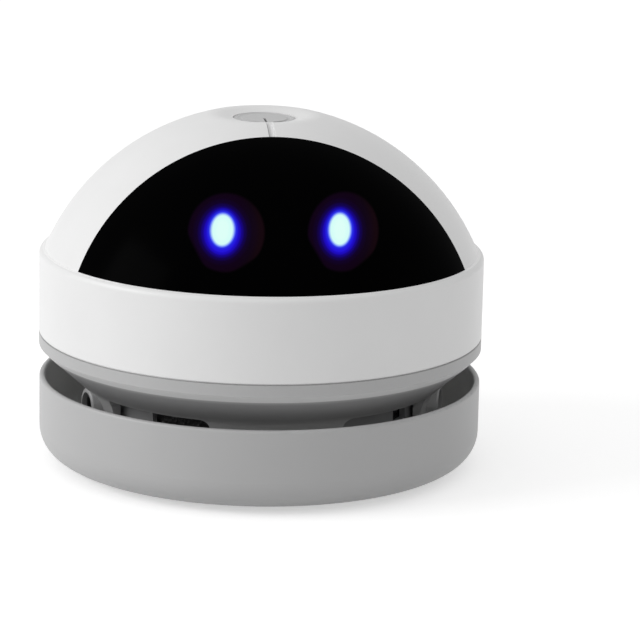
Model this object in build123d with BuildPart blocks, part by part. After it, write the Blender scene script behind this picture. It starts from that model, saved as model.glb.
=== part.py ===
"""Desk vacuum cleaner shaped like a domed robot's head, 88 mm across.

A white dome with a black visor stands on a band, and the band on a grey neck housing.
The neck holds the motor's fan and filters, blows its air out through side windows, and
locks into an open bowl with three bayonet lugs. The bowl is the foot and the dust tray.

The origin is on the table, on the vertical axis. +Z is up and -Y is the face with the
two lit eyes. Angles are anticlockwise from +X, seen from above. Lengths are millimetres.

The hardest feature is the fan: backward-curved blades between a dished back plate and
a hub, spun by the motor's shaft inside a caged foam sleeve. Next to it come the visor,
which is one part of the dome's own sphere let into a rebate, and the bayonet's slots.
"""

import os
from math import asin, cos, degrees, radians, sin, sqrt

from build123d import *

os.makedirs("parts", exist_ok=True)

# ---------------------------------------------------------------- driving dimensions

# Outline
body_r = 44.0                # band and lip, the widest radius of the head
base_inset = 0.1             # bowl's side, in from the head's
base_h = 16.2                # bowl's underside to its rim
head_gap = 5.2               # air gap between the bowl's rim and the head's lip
lip_h = 3.7                  # grey lip under the band
lip_bevel = 1.3              # bevel along the lip's lower edge
band_h = 16.6                # white band
shoulder_r = 1.2             # rounding of the band's top edge
dome_rise = 28.0             # crown above the band, before its dish is cut
seam_chamfer = 0.25          # small chamfers that make the seam between lip and band

# Walls and fits
dome_wall = 1.8              # dome and visor
band_wall = 1.8
neck_wall = 1.6
base_wall = 1.2              # bowl's side
base_floor_t = 1.6
fit_gap = 0.15               # radial gap of spigots and located discs
turn_gap = 0.3               # gap between the head's parts and the bowl's
running_gap = 0.05           # radial clearance of a shaft or screw in its hole
spigot_h = 2.5               # locating rings behind the seams
spigot_t = 1.5               # lip's locating ring
cut_over = 1.0               # how far a cutting shape reaches past what it cuts

# Bowl
ground_gap = 1.0             # table to the bowl's underside
base_edge_r = 5.9            # rounding under the bowl's side
port_r = 9.0                 # suction port
port_lip_h = 1.2             # lip that keeps dust in the tray
port_lip_t = 1.6
collar_t = 1.8               # ring that takes the bayonet
collar_h = 4.6
pad_count = 4
pad_r = 2.5                  # glide pads
pad_edge = 2.5               # pad's rim to the start of the rounded edge
pad_sink = 0.5               # pads let into the underside
brush_ring_r = 13.0          # circle of bristle tufts around the port
brush_ring_w = 3.6
brush_ring_h = 1.0
brush_sink = 0.8             # ring let into the underside
tuft_count = 24
tuft_r = 0.75
tuft_side_gap = 0.02         # glue round a tuft in its socket
tuft_clear = 0.2             # tips above the table
seal_h = 0.8                 # ring between neck and tray floor

# Neck
neck_inset = 9.6             # neck, in from the head's side
flare_slope = 0.9            # rise over run of the flare under the lip
cove_r = 5.0                 # hollow between neck and flare
window_drop = 5.8            # lip's underside to the windows' tops
window_h = 5.2
window_start = 21.5          # from the front, each side
window_end = 61.0
window_corner_r = 1.8
side_port_r = 3.7            # round ports at the two sides
side_port_hole_r = 2.9
side_port_reach = 2.0        # how far they stand out of the neck
side_port_drop = 9.3         # lip's underside to the ports' axis
side_port_edge_r = 0.4
side_port_turn = 16.0        # turned to the front, degrees
grommet_in_r = 2.2
grommet_sink = 1.0           # grommet below the port's rim
lug_count = 3
lug_lift = 0.8               # neck's lower edge to the lugs
lug_angle = 14.0             # width of one bayonet lug, degrees
lug_h = 1.4
lug_reach = 1.4
twist_angle = 25.0           # turn that frees the lugs
slot_end_angle = 1.0         # play at each end of a slot, degrees

# Dome, visor and button
visor_lean = 11.1            # degrees that the visor's edge leans back
visor_edge_y = 21.0          # edge's distance in front of the axis at the band
rebate_w = 2.4               # ledge behind the visor's edge
rebate_t = 1.3
dome_spigot_t = 2.0          # ring that sits inside the band
dome_spigot_h = 4.0
dish_r = 9.8                 # sloped dish round the button
dish_land = 0.3              # flat between the dish's slope and the bore
dish_depth = 0.85
dish_edge_r = 6.0            # rounding of its rim into the dome
button_r = 6.1
button_gap = 0.08            # radial running clearance of the button
button_sink = 0.1            # button's face below the dish's inner edge
button_face_t = 1.6
button_skirt_t = 1.0
button_skirt_h = 4.4
button_flange_w = 0.9
button_flange_h = 0.8
button_travel = 1.2
button_stop_gap = 0.2
button_edge_r = 0.35
sleeve_t = 1.9               # guide tube under the dish
groove_w = 1.2               # channel from the dish to the visor
groove_depth = 0.5

# Eyes
eye_turn = 17.85             # degrees to each side of the front
eye_height = 38.4            # degrees above the dome's centre
eye_w = 5.0
eye_h = 7.2
eye_gap = 0.3                # light pipe to visor
led_board_w = 32.0
led_board_h = 8.4
led_corner_gap = 0.35        # upper corners of the lamps' board to the dome
lamp_w = 3.5
lamp_h = 2.8
lamp_t = 1.1
bracket_t = 2.0
bracket_leg_w = 3.0
bracket_foot_w = 6.0
bracket_foot_len = 6.0
bracket_foot_t = 1.2

# Deck, motor and fan
deck_t = 1.6
deck_lift = 0.2              # deck above the lip's underside
motor_r = 12.0
motor_h = 24.0
motor_can_t = 0.8
motor_cup_t = 1.5
motor_cup_h = 9.0
cup_slot_w = 1.6
cup_slot_foot = 2.0          # deck to the slots' lower ends
motor_boss_r = 3.0
motor_cap_h = 2.4
cap_boss_h = 1.0
cap_boss_t = 1.2
terminal_x = 7.4
terminal_w = 2.1
terminal_t = 0.5
terminal_reach = 3.4         # above the cap
shaft_r = 1.0
shaft_top_reach = 1.4        # above the motor's cap
bush_r = 2.4
bush_h = 2.2
armature_gap = 0.8           # armature to the magnets
armature_h = 13.0
pole_count = 3
pole_w = 2.6
pole_hub_r = 3.6
pole_shoe_t = 1.5
pole_shoe_half = 50.0        # degrees that a pole's shoe reaches to each side
magnet_t = 1.8
magnet_half = 62.0           # degrees that a magnet reaches to each side
fan_side_gap = 4.4           # fan's rim to the foam
fan_h = 8.6
fan_plate_t = 1.0
fan_dish_r = 13.2            # where the dished plate turns level
fan_dish_h = 3.2
fan_hub_r = 4.2
fan_hub_bevel = 0.8
blade_count = 9
blade_t = 1.0
blade_in_r = 8.6
blade_sweep = 38.0           # degrees that a blade falls back from root to tip
blade_bow_angle = 12.2       # how far round the blade's middle has fallen back
blade_bow = 1.2              # middle of a blade, out from halfway
blade_tip_gap = 0.4          # blade's tip to the plate's rim
fan_gap = 1.0                # fan to deck, and blades to inlet plate

# Filters
inlet_t = 1.2
inlet_drop = 0.2             # inlet plate below the windows
inlet_edge_r = 0.4
inlet_seat_t = 1.0
inlet_seat_w = 1.4
mesh_t = 0.6
frame_t = 0.9
frame_ring_w = 2.6
spoke_w = 2.0
spoke_count = 4
spoke_hub_r = 4.0
cage_t = 1.2
cage_gap = 0.9               # cage to the neck's inside
cage_rim_h = 1.0             # cage's openings below and above the windows
cage_openings = ((-45.7, -12.0), (48.8, 57.5), (64.0, 72.5))  # degrees from the front
foam_t = 2.3

# Boards, cell and socket
board_t = 1.2
main_board_r = 18.0
post_ring_r = 14.5
post_angles = (90.0, 210.0, 330.0)
post_r = 2.4
chip_x = 9.5                 # the two flat packages, one each side
chip_y = 3.2
chip_h = 1.4
controller_w = 5.0
controller_len = 4.0
transistor_w = 4.0
transistor_len = 3.0
coil_side = 6.0
coil_corner_r = 1.0
coil_y = 8.0
coil_h = 2.8
capacitor_x = 7.0
capacitor_y = 10.0
capacitor_r = 2.0
capacitor_h = 3.6
switch_side = 6.0
switch_h = 4.3
switch_corner = 0.5
plunger_r = 1.2
plunger_up = 0.6             # plunger's top above a fully pressed one's place
plunger_in = 0.8             # how deep it stands in the switch at rest
stem_r = 1.5
spring_r = 2.5
spring_wire_r = 0.22
spring_turns = 4.0
cell_len = 48.0
cell_seat = 0.8              # cell above the deck
cell_cap_r = 2.8
cell_cap_h = 1.0
crimp_w = 1.2
crimp_depth = 0.6
crimp_lip = 1.2              # cell's shoulder to the crimped groove
cradle_grip = 2.1            # how far the saddles reach past the cell's middle
cradle_w = 3.0
cradle_t = 1.6
cradle_gap = 0.3             # cradle to the socket's board
cradle_x = 15.0
usb_w = 7.5
usb_h = 2.6
usb_depth = 5.4
usb_shell_t = 0.35
usb_bevel = 1.0
usb_tongue_w = 4.1
usb_tongue_t = 0.7
usb_tongue_up = 0.3
usb_back_t = 1.2
usb_setback = 2.2            # board's end to the band's inside
usb_slot_margin = 0.5        # opening round the socket
usb_slot_corner_r = 1.0
usb_board_lift = 0.6         # board above the lip's locating ring
usb_board_w = 18.0
usb_board_len = 9.0
peg_r = 2.0
peg_tip_r = 1.0
peg_tip_up = 0.4             # peg's tip past the board

# Screws
screw_r = 1.0
screw_head_r = 1.9
screw_head_h = 1.2
screw_seat_gap = 0.2         # radial gap round a screw's head
screw_end_gap = 0.5          # hole past a screw's end
screw_land = 3.0             # plastic of the band under a case screw's head
screw_slot_w = 0.4
screw_slot_len = 2.5
screw_slot_depth = 0.6
boss_r = 2.9
boss_end_t = 1.1             # plastic past the end of a case screw's hole
boss_top_gap = 4.0           # top of the band's bosses above the screws' seats
web_w = 3.5
case_screw_angles = (30.0, 150.0, 210.0, 330.0)
board_screw_bite = 4.5
motor_screw_ring_r = 8.0
motor_screw_bite = 2.0
motor_head_h = 0.6
motor_slot_depth = 0.3

# ---------------------------------------------------------------- worked-out places

base_r = body_r - base_inset
base_rim_z = ground_gap + base_h
base_in_r = base_r - base_wall
floor_top_z = ground_gap + base_floor_t
lip_bottom_z = base_rim_z + head_gap
seam_z = lip_bottom_z + lip_h
band_top_z = seam_z + band_h
crease_r = body_r - shoulder_r
dome_r = (crease_r ** 2 + dome_rise ** 2) / (2 * dome_rise)
dome_centre_z = band_top_z + dome_rise - dome_r
dome_in_r = dome_r - dome_wall
band_in_r = body_r - band_wall
spigot_r = band_in_r - fit_gap
spigot_in_r = spigot_r - spigot_t
neck_r = body_r - neck_inset
neck_in_r = neck_r - neck_wall
neck_bottom_z = floor_top_z + seal_h + turn_gap
collar_in_r = neck_r + turn_gap
collar_r = collar_in_r + collar_t
lip_in_r = body_r - lip_bevel
pad_ring_r = base_r - base_edge_r - pad_edge - pad_r
case_screw_ring_r = neck_in_r + boss_r
deck_z = lip_bottom_z + deck_lift
deck_top_z = deck_z + deck_t
window_top_z = lip_bottom_z - window_drop
window_z = window_top_z - window_h
side_port_z = lip_bottom_z - side_port_drop
side_port_face_x = neck_r + side_port_reach
inlet_z = window_z - inlet_t - inlet_drop
inlet_top_z = inlet_z + inlet_t
mesh_z = inlet_z - mesh_t
frame_z = mesh_z - frame_t
fan_top_z = deck_z - fan_gap
cage_r = neck_in_r - cage_gap
foam_r = cage_r - cage_t
fan_r = foam_r - foam_t - fan_side_gap
motor_z = deck_top_z
motor_top_z = motor_z + motor_h
armature_r = motor_r - motor_can_t - magnet_t - armature_gap
usb_board_y = band_in_r - usb_board_len - usb_setback
cell_near_y = motor_r + motor_cup_t + cradle_t
cell_r = (usb_board_y - cradle_gap - cradle_t - cell_near_y) / 2
dish_rim_z = dome_centre_z + sqrt(dome_r ** 2 - dish_r ** 2)
dish_z = dish_rim_z - dish_depth
bore_r = button_r + button_gap
button_top_z = dish_z - button_sink
button_skirt_z = button_top_z - button_skirt_h
flange_r = button_r + button_flange_w
sleeve_z = button_skirt_z + button_stop_gap
button_under_z = button_top_z - button_face_t
switch_top_z = button_skirt_z - button_flange_h - button_travel
board_top_z = switch_top_z - switch_h
visor_plane = Plane(
    origin=(0, -visor_edge_y, band_top_z),
    x_dir=(1, 0, 0),
    z_dir=(0, -cos(radians(visor_lean)), sin(radians(visor_lean))),
)
eye_ring_r = dome_r * cos(radians(eye_height))
eye_x = eye_ring_r * sin(radians(eye_turn))
eye_z = dome_centre_z + dome_r * sin(radians(eye_height))


# ---------------------------------------------------------------- shared outlines

def sector(inner, outer, start, end):
    """Part of a ring, between two angles, to add to a sketch."""
    with BuildSketch() as outline:
        with BuildLine():
            far = CenterArc((0, 0), outer, start, end - start)
            near = CenterArc((0, 0), inner, start, end - start)
            Line(far @ 0, near @ 0)
            Line(far @ 1, near @ 1)
        make_face()
    return outline.sketch


def ring(inner, outer):
    """Full ring, drawn in the sketch that is open."""
    Circle(outer)
    Circle(inner, mode=Mode.SUBTRACT)


def corner(sketch, x, y):
    """The vertex of a sketch that lies nearest to a point."""
    return sketch.vertices().sort_by_distance((x, y, 0))[0]


def from_front(turn):
    """Angle from +X of a direction that is given in degrees to the right of the face."""
    return turn - 90


def save(part, node):
    """Label a finished piece and write it as its own STEP file."""
    part.label = node
    export_step(part, f"parts/{node}.step")


# ---------------------------------------------------------------- base: bowl and tray

# One grey moulding: the open bowl, its floor with the suction port, and the bayonet's
# collar. The side is thin and its rim is round.
lug_z = neck_bottom_z + lug_lift
slot_z = lug_z - turn_gap
slot_h = lug_h + 2 * turn_gap
lug_pitch = 360 / lug_count
floor_fillet_r = min(base_edge_r - base_wall, 0.8 * (base_in_r - collar_r))

with BuildPart() as base_bowl:
    with BuildSketch(Plane.XZ) as bowl_profile:
        with BuildLine():
            Polyline(
                (port_r, ground_gap),
                (base_r, ground_gap),
                (base_r, base_rim_z),
                (base_in_r, base_rim_z),
                (base_in_r, floor_top_z),
                (collar_r, floor_top_z),
                (collar_r, floor_top_z + collar_h),
                (collar_in_r, floor_top_z + collar_h),
                (collar_in_r, floor_top_z),
                (port_r + port_lip_t, floor_top_z),
                (port_r + port_lip_t, floor_top_z + port_lip_h),
                (port_r, floor_top_z + port_lip_h),
                close=True,
            )
        make_face()
        fillet(corner(bowl_profile, base_r, ground_gap), base_edge_r)
        fillet(corner(bowl_profile, base_in_r, floor_top_z), floor_fillet_r)
        rim_corners = [
            corner(bowl_profile, base_r, base_rim_z),
            corner(bowl_profile, base_in_r, base_rim_z),
        ]
        fillet(rim_corners, 0.45 * base_wall)
    revolve(axis=Axis.Z)
    # Bayonet: a level slot for each lug, open to the top where the lug drops in.
    with BuildSketch(Plane.XY.offset(slot_z)):
        for index in range(lug_count):
            start = 90 + index * lug_pitch - lug_angle / 2 - slot_end_angle
            stop = start + lug_angle + twist_angle + 2 * slot_end_angle
            add(sector(collar_in_r - cut_over, collar_r + cut_over, start, stop))
    extrude(amount=slot_h, mode=Mode.SUBTRACT)
    with BuildSketch(Plane.XY.offset(lug_z)):
        for index in range(lug_count):
            stop = 90 + index * lug_pitch + lug_angle / 2 + twist_angle + slot_end_angle
            start = stop - lug_angle - 2 * slot_end_angle
            add(sector(collar_in_r - cut_over, collar_r + cut_over, start, stop))
    extrude(amount=collar_h, mode=Mode.SUBTRACT)
    # Seats for the glide pads and for the brush ring.
    with BuildSketch(Plane.XY.offset(ground_gap)):
        with PolarLocations(pad_ring_r, pad_count, start_angle=45):
            Circle(pad_r + running_gap)
    extrude(amount=pad_sink, mode=Mode.SUBTRACT)
    with BuildSketch(Plane.XY.offset(ground_gap)):
        ring(
            brush_ring_r - brush_ring_w / 2 - running_gap,
            brush_ring_r + brush_ring_w / 2 + running_gap,
        )
    extrude(amount=brush_sink, mode=Mode.SUBTRACT)
save(base_bowl.part, "base_bowl")

# Four low-friction pads carry the cleaner. They are bonded into their seats.
with BuildPart() as glide_pads:
    with BuildSketch():
        with PolarLocations(pad_ring_r, pad_count, start_angle=45):
            Circle(pad_r)
    extrude(amount=ground_gap + pad_sink)
    fillet(glide_pads.edges().group_by(Axis.Z)[0], 0.3 * ground_gap)
save(glide_pads.part, "glide_pads")

# The brush ring holds the tufts round the port. Each tuft stands in its own socket.
brush_z = ground_gap + brush_sink - brush_ring_h
with BuildPart() as brush_ring:
    with BuildSketch(Plane.XY.offset(brush_z)):
        ring(brush_ring_r - brush_ring_w / 2, brush_ring_r + brush_ring_w / 2)
        with PolarLocations(brush_ring_r, tuft_count):
            Circle(tuft_r, mode=Mode.SUBTRACT)
    extrude(amount=brush_ring_h)
save(brush_ring.part, "brush_ring")

with BuildPart() as bristle_tufts:
    with BuildSketch(Plane.XY.offset(tuft_clear)):
        with PolarLocations(brush_ring_r, tuft_count):
            RegularPolygon(tuft_r - tuft_side_gap, 8)
    extrude(amount=brush_z + brush_ring_h - tuft_clear)
save(bristle_tufts.part, "bristle_tufts")

# Rubber ring on the tray's floor, under the neck's edge.
with BuildPart() as tray_seal:
    with BuildSketch(Plane.XY.offset(floor_top_z)):
        ring(neck_in_r, neck_r)
    extrude(amount=seal_h)
    fillet(tray_seal.edges().group_by(Axis.Z)[-1], 0.4 * seal_h)
save(tray_seal.part, "tray_seal")

# ---------------------------------------------------------------- head: neck housing

# One grey moulding from the lip ring down through the flare to the neck. Its windows
# and round side ports let the fan's air out over the bowl's rim.
flare_foot_z = lip_bottom_z - (lip_in_r - neck_r) * flare_slope
wall_rise = neck_wall * sqrt(1 + flare_slope ** 2)
wall_shift = wall_rise / flare_slope
cone_in_top_z = lip_bottom_z + (spigot_in_r + wall_shift - lip_in_r) * flare_slope
cone_in_foot_z = lip_bottom_z + (neck_in_r + wall_shift - lip_in_r) * flare_slope

case_hole_far_r = case_screw_ring_r + screw_r + running_gap
case_hole_z = flare_foot_z + (case_hole_far_r - neck_r) * flare_slope + boss_end_t

# Bosses of the case screws: they hang from the deck's level and end in the flare's wall.
with BuildPart() as neck_bosses:
    with BuildSketch(Plane.XY.offset(deck_z)):
        for angle in case_screw_angles:
            with PolarLocations(case_screw_ring_r, 1, start_angle=angle):
                Circle(boss_r)
    extrude(amount=flare_foot_z - deck_z)
    with BuildSketch(Plane.XZ):
        with BuildLine():
            Polyline(
                (0, flare_foot_z),
                (neck_in_r, flare_foot_z),
                (lip_in_r, lip_bottom_z + wall_rise / 2),
                (lip_in_r, deck_top_z),
                (0, deck_top_z),
                close=True,
            )
        make_face()
    revolve(axis=Axis.Z, mode=Mode.INTERSECT)

# Side ports: a short tube with a rounded rim, and the bore through it and the wall.
side_port_face = Plane(origin=(side_port_face_x, 0, side_port_z), z_dir=(1, 0, 0))
side_port_turns = (-side_port_turn, 180 + side_port_turn)

with BuildPart() as side_port_tube:
    with BuildSketch(side_port_face):
        Circle(side_port_r)
    extrude(amount=-side_port_reach - neck_wall / 2)
    fillet(side_port_tube.edges().group_by(Axis.X)[-1], side_port_edge_r)

with BuildPart() as side_port_bore:
    with BuildSketch(side_port_face):
        Circle(side_port_hole_r)
    extrude(amount=-side_port_reach - neck_wall - cut_over)

with BuildPart() as window_tool:
    with BuildSketch(Plane.XY.offset(window_z)):
        near = neck_in_r - cage_gap / 2
        add(sector(near, body_r, from_front(window_start), from_front(window_end)))
    extrude(amount=window_h)
    fillet(
        window_tool.edges().filter_by(GeomType.LINE).filter_by(Axis.Z, reverse=True)
        .group_by(Axis.Z)[-1],
        window_corner_r,
    )

with BuildPart() as neck_housing:
    with BuildSketch(Plane.XZ) as neck_profile:
        with BuildLine():
            Polyline(
                (neck_in_r, neck_bottom_z),
                (neck_r, neck_bottom_z),
                (neck_r, flare_foot_z),
                (lip_in_r, lip_bottom_z),
                (body_r, lip_bottom_z + lip_bevel),
                (body_r, seam_z - seam_chamfer),
                (body_r - seam_chamfer, seam_z),
                (spigot_r, seam_z),
                (spigot_r, seam_z + spigot_h),
                (spigot_in_r, seam_z + spigot_h),
                (spigot_in_r, cone_in_top_z),
                (neck_in_r, cone_in_foot_z),
                (neck_in_r, inlet_z),
                (neck_in_r - inlet_seat_w, inlet_z),
                (neck_in_r - inlet_seat_w, inlet_z - inlet_seat_t),
                (neck_in_r, inlet_z - inlet_seat_t - inlet_seat_w),
                close=True,
            )
        make_face()
        fillet(corner(neck_profile, neck_r, flare_foot_z), cove_r)
        fillet(corner(neck_profile, neck_in_r, cone_in_foot_z), cove_r - neck_wall)
    revolve(axis=Axis.Z)
    # Bosses, which the windows' tops trim, and the side ports.
    add(neck_bosses.part)
    for turn in side_port_turns:
        add(side_port_tube.part.rotate(Axis.Z, turn))
        add(side_port_bore.part.rotate(Axis.Z, turn), mode=Mode.SUBTRACT)
    # Two windows in front and two behind.
    add(window_tool.part, mode=Mode.SUBTRACT)
    add(mirror(window_tool.part, Plane.YZ, mode=Mode.PRIVATE), mode=Mode.SUBTRACT)
    add(mirror(window_tool.part, Plane.XZ, mode=Mode.PRIVATE), mode=Mode.SUBTRACT)
    add(window_tool.part.rotate(Axis.Z, 180), mode=Mode.SUBTRACT)
    # Blind holes of the case screws.
    with BuildSketch(Plane.XY.offset(deck_z)):
        for angle in case_screw_angles:
            with PolarLocations(case_screw_ring_r, 1, start_angle=angle):
                Circle(screw_r + running_gap)
    extrude(amount=case_hole_z - deck_z, mode=Mode.SUBTRACT)
    # Bayonet lugs.
    with BuildSketch(Plane.XY.offset(lug_z)):
        for index in range(lug_count):
            middle = 90 + index * lug_pitch
            half = lug_angle / 2
            lug_root_r = neck_r - neck_wall / 2
            add(sector(lug_root_r, neck_r + lug_reach, middle - half, middle + half))
    extrude(amount=lug_h)
save(neck_housing.part, "neck_housing")

# Black rubber grommets, pressed into the side ports' bores from inside.
with BuildPart() as grommet:
    with BuildSketch(side_port_face.offset(-grommet_sink)):
        ring(grommet_in_r, side_port_hole_r)
    extrude(amount=grommet_sink - side_port_reach - neck_wall / 2)

with BuildPart() as port_grommets:
    for turn in side_port_turns:
        add(grommet.part.rotate(Axis.Z, turn))
save(port_grommets.part, "port_grommets")

# ---------------------------------------------------------------- head: filters

# The inlet plate closes the fan's chamber from below. Its eye feeds the fan.
with BuildPart() as inlet_plate:
    with BuildSketch(Plane.XY.offset(inlet_z)):
        Circle(neck_in_r - fit_gap)
    extrude(amount=inlet_t)
    with BuildSketch(Plane.XY.offset(inlet_z)):
        Circle(blade_in_r + blade_t)
    extrude(amount=inlet_t, mode=Mode.SUBTRACT)
    eye_edges = inlet_plate.edges().filter_by(GeomType.CIRCLE).group_by(SortBy.RADIUS)[0]
    fillet(eye_edges, inlet_edge_r)
save(inlet_plate.part, "inlet_plate")

# Fine mesh disc, clamped between the inlet plate and its spoked frame.
filter_r = neck_in_r - inlet_seat_w - fit_gap
with BuildPart() as filter_mesh:
    with BuildSketch(Plane.XY.offset(mesh_z)):
        Circle(filter_r)
    extrude(amount=mesh_t)
save(filter_mesh.part, "filter_mesh")

with BuildPart() as filter_frame:
    with BuildSketch(Plane.XY.offset(frame_z)):
        ring(filter_r - frame_ring_w, filter_r)
        with PolarLocations(0, spoke_count // 2, start_angle=45, angular_range=180):
            Rectangle(2 * filter_r - frame_ring_w, spoke_w)
        Circle(spoke_hub_r)
    extrude(amount=frame_t)
save(filter_frame.part, "filter_frame")

# Ribbed cage behind the windows, with the black foam sleeve inside it. The cage's
# openings are given from the front; the back has the same, half a turn round.
opening_z = window_z + cage_rim_h - inlet_drop
opening_top_z = window_top_z + cage_rim_h

with BuildPart() as exhaust_cage:
    with BuildSketch(Plane.XY.offset(inlet_top_z)):
        ring(cage_r - cage_t, cage_r)
    extrude(amount=deck_z - inlet_top_z)
    with BuildSketch(Plane.XY.offset(opening_z)):
        for near, far in cage_openings:
            for turn in (0, 180):
                start = from_front(near + turn)
                stop = start + far - near
                add(sector(foam_r - cage_t, cage_r + cut_over, start, stop))
    extrude(amount=opening_top_z - opening_z, mode=Mode.SUBTRACT)
save(exhaust_cage.part, "exhaust_cage")

with BuildPart() as exhaust_foam:
    with BuildSketch(Plane.XY.offset(inlet_top_z)):
        ring(foam_r - foam_t, foam_r)
    extrude(amount=deck_z - inlet_top_z)
save(exhaust_foam.part, "exhaust_foam")

# ---------------------------------------------------------------- head: motor deck

# Moulded floor of the electronics bay. It carries the motor's cup, the cradle of the
# rechargeable cell and the pegs of the socket's board, and it closes the fan chamber.
deck_r = spigot_in_r - fit_gap
cell_y = cell_near_y + cell_r
cell_z = deck_top_z + cell_seat + cell_r
saddle_h = cell_seat + cell_r + cradle_grip
usb_board_z = seam_z + spigot_h + usb_board_lift
peg_x = usb_board_w / 2 - peg_r
peg_y = usb_board_y + peg_r

with BuildPart() as motor_deck:
    with BuildSketch(Plane.XY.offset(deck_z)):
        Circle(deck_r)
    extrude(amount=deck_t)
    chamfer(motor_deck.edges().group_by(Axis.Z)[0], 0.25 * deck_t)
    # Motor cup, slotted so that it grips.
    with BuildSketch(Plane.XY.offset(deck_top_z)):
        ring(motor_r + running_gap, motor_r + motor_cup_t)
    extrude(amount=motor_cup_h)
    with BuildSketch(Plane.XY.offset(deck_top_z + cup_slot_foot)):
        with PolarLocations(0, 2, start_angle=45, angular_range=180):
            Rectangle(2 * (motor_r + motor_cup_t + cut_over), cup_slot_w)
    extrude(amount=motor_cup_h, mode=Mode.SUBTRACT)
    # Cradle: two saddles that hold the cell round a little more than its lower half.
    with BuildSketch(Plane.YZ.offset(cradle_x - cradle_w / 2)) as saddle:
        with Locations((cell_y, deck_top_z + saddle_h / 2)):
            Rectangle(2 * (cell_r + cradle_t), saddle_h)
        with Locations((cell_y, cell_z)):
            Circle(cell_r + running_gap, mode=Mode.SUBTRACT)
    extrude(amount=cradle_w)
    with BuildSketch(Plane.YZ.offset(-cradle_x - cradle_w / 2)):
        add(saddle.sketch_local)
    extrude(amount=cradle_w)
    # Pegs of the socket's board: a shoulder and a thin tip through the board.
    with BuildSketch(Plane.XY.offset(deck_top_z)):
        with Locations((-peg_x, peg_y), (peg_x, peg_y)):
            Circle(peg_r)
    extrude(amount=usb_board_z - deck_top_z)
    with BuildSketch(Plane.XY.offset(usb_board_z)):
        with Locations((-peg_x, peg_y), (peg_x, peg_y)):
            Circle(peg_tip_r)
    extrude(amount=board_t + peg_tip_up)
    # Shaft hole, motor screws and case screws.
    with BuildSketch(Plane.XY.offset(deck_z)):
        Circle(motor_boss_r + running_gap)
        with Locations((motor_screw_ring_r, 0), (-motor_screw_ring_r, 0)):
            Circle(screw_r + running_gap)
        for angle in case_screw_angles:
            with PolarLocations(case_screw_ring_r, 1, start_angle=angle):
                Circle(screw_r + running_gap)
    extrude(amount=deck_t, mode=Mode.SUBTRACT)
save(motor_deck.part, "motor_deck")

# ---------------------------------------------------------------- head: motor

# Drawn steel can with its bearing boss in the deck's hole.
with BuildPart() as motor_can:
    with BuildSketch(Plane.XZ) as can_profile:
        with BuildLine():
            Polyline(
                (bush_r, motor_z - deck_t),
                (motor_boss_r, motor_z - deck_t),
                (motor_boss_r, motor_z),
                (motor_r, motor_z),
                (motor_r, motor_top_z),
                (motor_r - motor_can_t, motor_top_z),
                (motor_r - motor_can_t, motor_z + motor_can_t),
                (bush_r, motor_z + motor_can_t),
                close=True,
            )
        make_face()
        fillet(corner(can_profile, motor_r, motor_z), 0.7)
    revolve(axis=Axis.Z)
    with BuildSketch(Plane.XY.offset(motor_z)):
        with Locations((motor_screw_ring_r, 0), (-motor_screw_ring_r, 0)):
            Circle(screw_r + running_gap)
    extrude(amount=motor_can_t, mode=Mode.SUBTRACT)
save(motor_can.part, "motor_can")

# Two curved magnets line the can.
armature_z = motor_z + (motor_h - armature_h) / 2
magnet_r = motor_r - motor_can_t
with BuildPart() as motor_magnets:
    with BuildSketch(Plane.XY.offset(armature_z)):
        for middle in (90, 270):
            start = middle - magnet_half
            add(sector(magnet_r - magnet_t, magnet_r, start, middle + magnet_half))
    extrude(amount=armature_h)
save(motor_magnets.part, "motor_magnets")

# Plastic cap in the can's mouth, with the upper bush's boss and two brass terminals.
cap_z = motor_top_z - motor_cap_h
with BuildPart() as motor_cap:
    with BuildSketch(Plane.XY.offset(cap_z)):
        Circle(motor_r - motor_can_t)
    extrude(amount=motor_cap_h)
    with BuildSketch(Plane.XY.offset(motor_top_z)):
        Circle(bush_r + cap_boss_t)
    extrude(amount=cap_boss_h)
    with BuildSketch(Plane.XY.offset(cap_z)):
        Circle(bush_r)
        with Locations((-terminal_x, 0), (terminal_x, 0)):
            Rectangle(terminal_t + running_gap, terminal_w + running_gap)
    extrude(amount=motor_cap_h + cap_boss_h, mode=Mode.SUBTRACT)
save(motor_cap.part, "motor_cap")

with BuildPart() as motor_terminals:
    with BuildSketch(Plane.XY.offset(cap_z)):
        with Locations((-terminal_x, 0), (terminal_x, 0)):
            Rectangle(terminal_t, terminal_w)
    extrude(amount=motor_cap_h + terminal_reach)
save(motor_terminals.part, "motor_terminals")

# Oil-filled bushes carry the shaft, one in the can's boss and one in the cap.
with BuildPart() as lower_bush:
    with BuildSketch(Plane.XY.offset(motor_z - deck_t)):
        ring(shaft_r + running_gap, bush_r)
    extrude(amount=bush_h)
save(lower_bush.part, "lower_bush")

with BuildPart() as upper_bush:
    with BuildSketch(Plane.XY.offset(motor_top_z + cap_boss_h - bush_h)):
        ring(shaft_r + running_gap, bush_r)
    extrude(amount=bush_h)
save(upper_bush.part, "upper_bush")

with BuildPart() as motor_screws:
    with BuildSketch(Plane.XY.offset(deck_z)):
        with Locations((motor_screw_ring_r, 0), (-motor_screw_ring_r, 0)):
            Circle(screw_r)
    extrude(amount=deck_t + motor_screw_bite)
    with BuildSketch(Plane.XY.offset(deck_z)):
        with Locations((motor_screw_ring_r, 0), (-motor_screw_ring_r, 0)):
            Circle(screw_head_r)
    extrude(amount=-motor_head_h)
    with BuildSketch(Plane.XY.offset(deck_z - motor_head_h)):
        with Locations((motor_screw_ring_r, 0), (-motor_screw_ring_r, 0)):
            Rectangle(screw_slot_len, screw_slot_w)
            Rectangle(screw_slot_w, screw_slot_len)
    extrude(amount=motor_slot_depth, mode=Mode.SUBTRACT)
save(motor_screws.part, "motor_screws")

# ---------------------------------------------------------------- rotor

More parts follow.
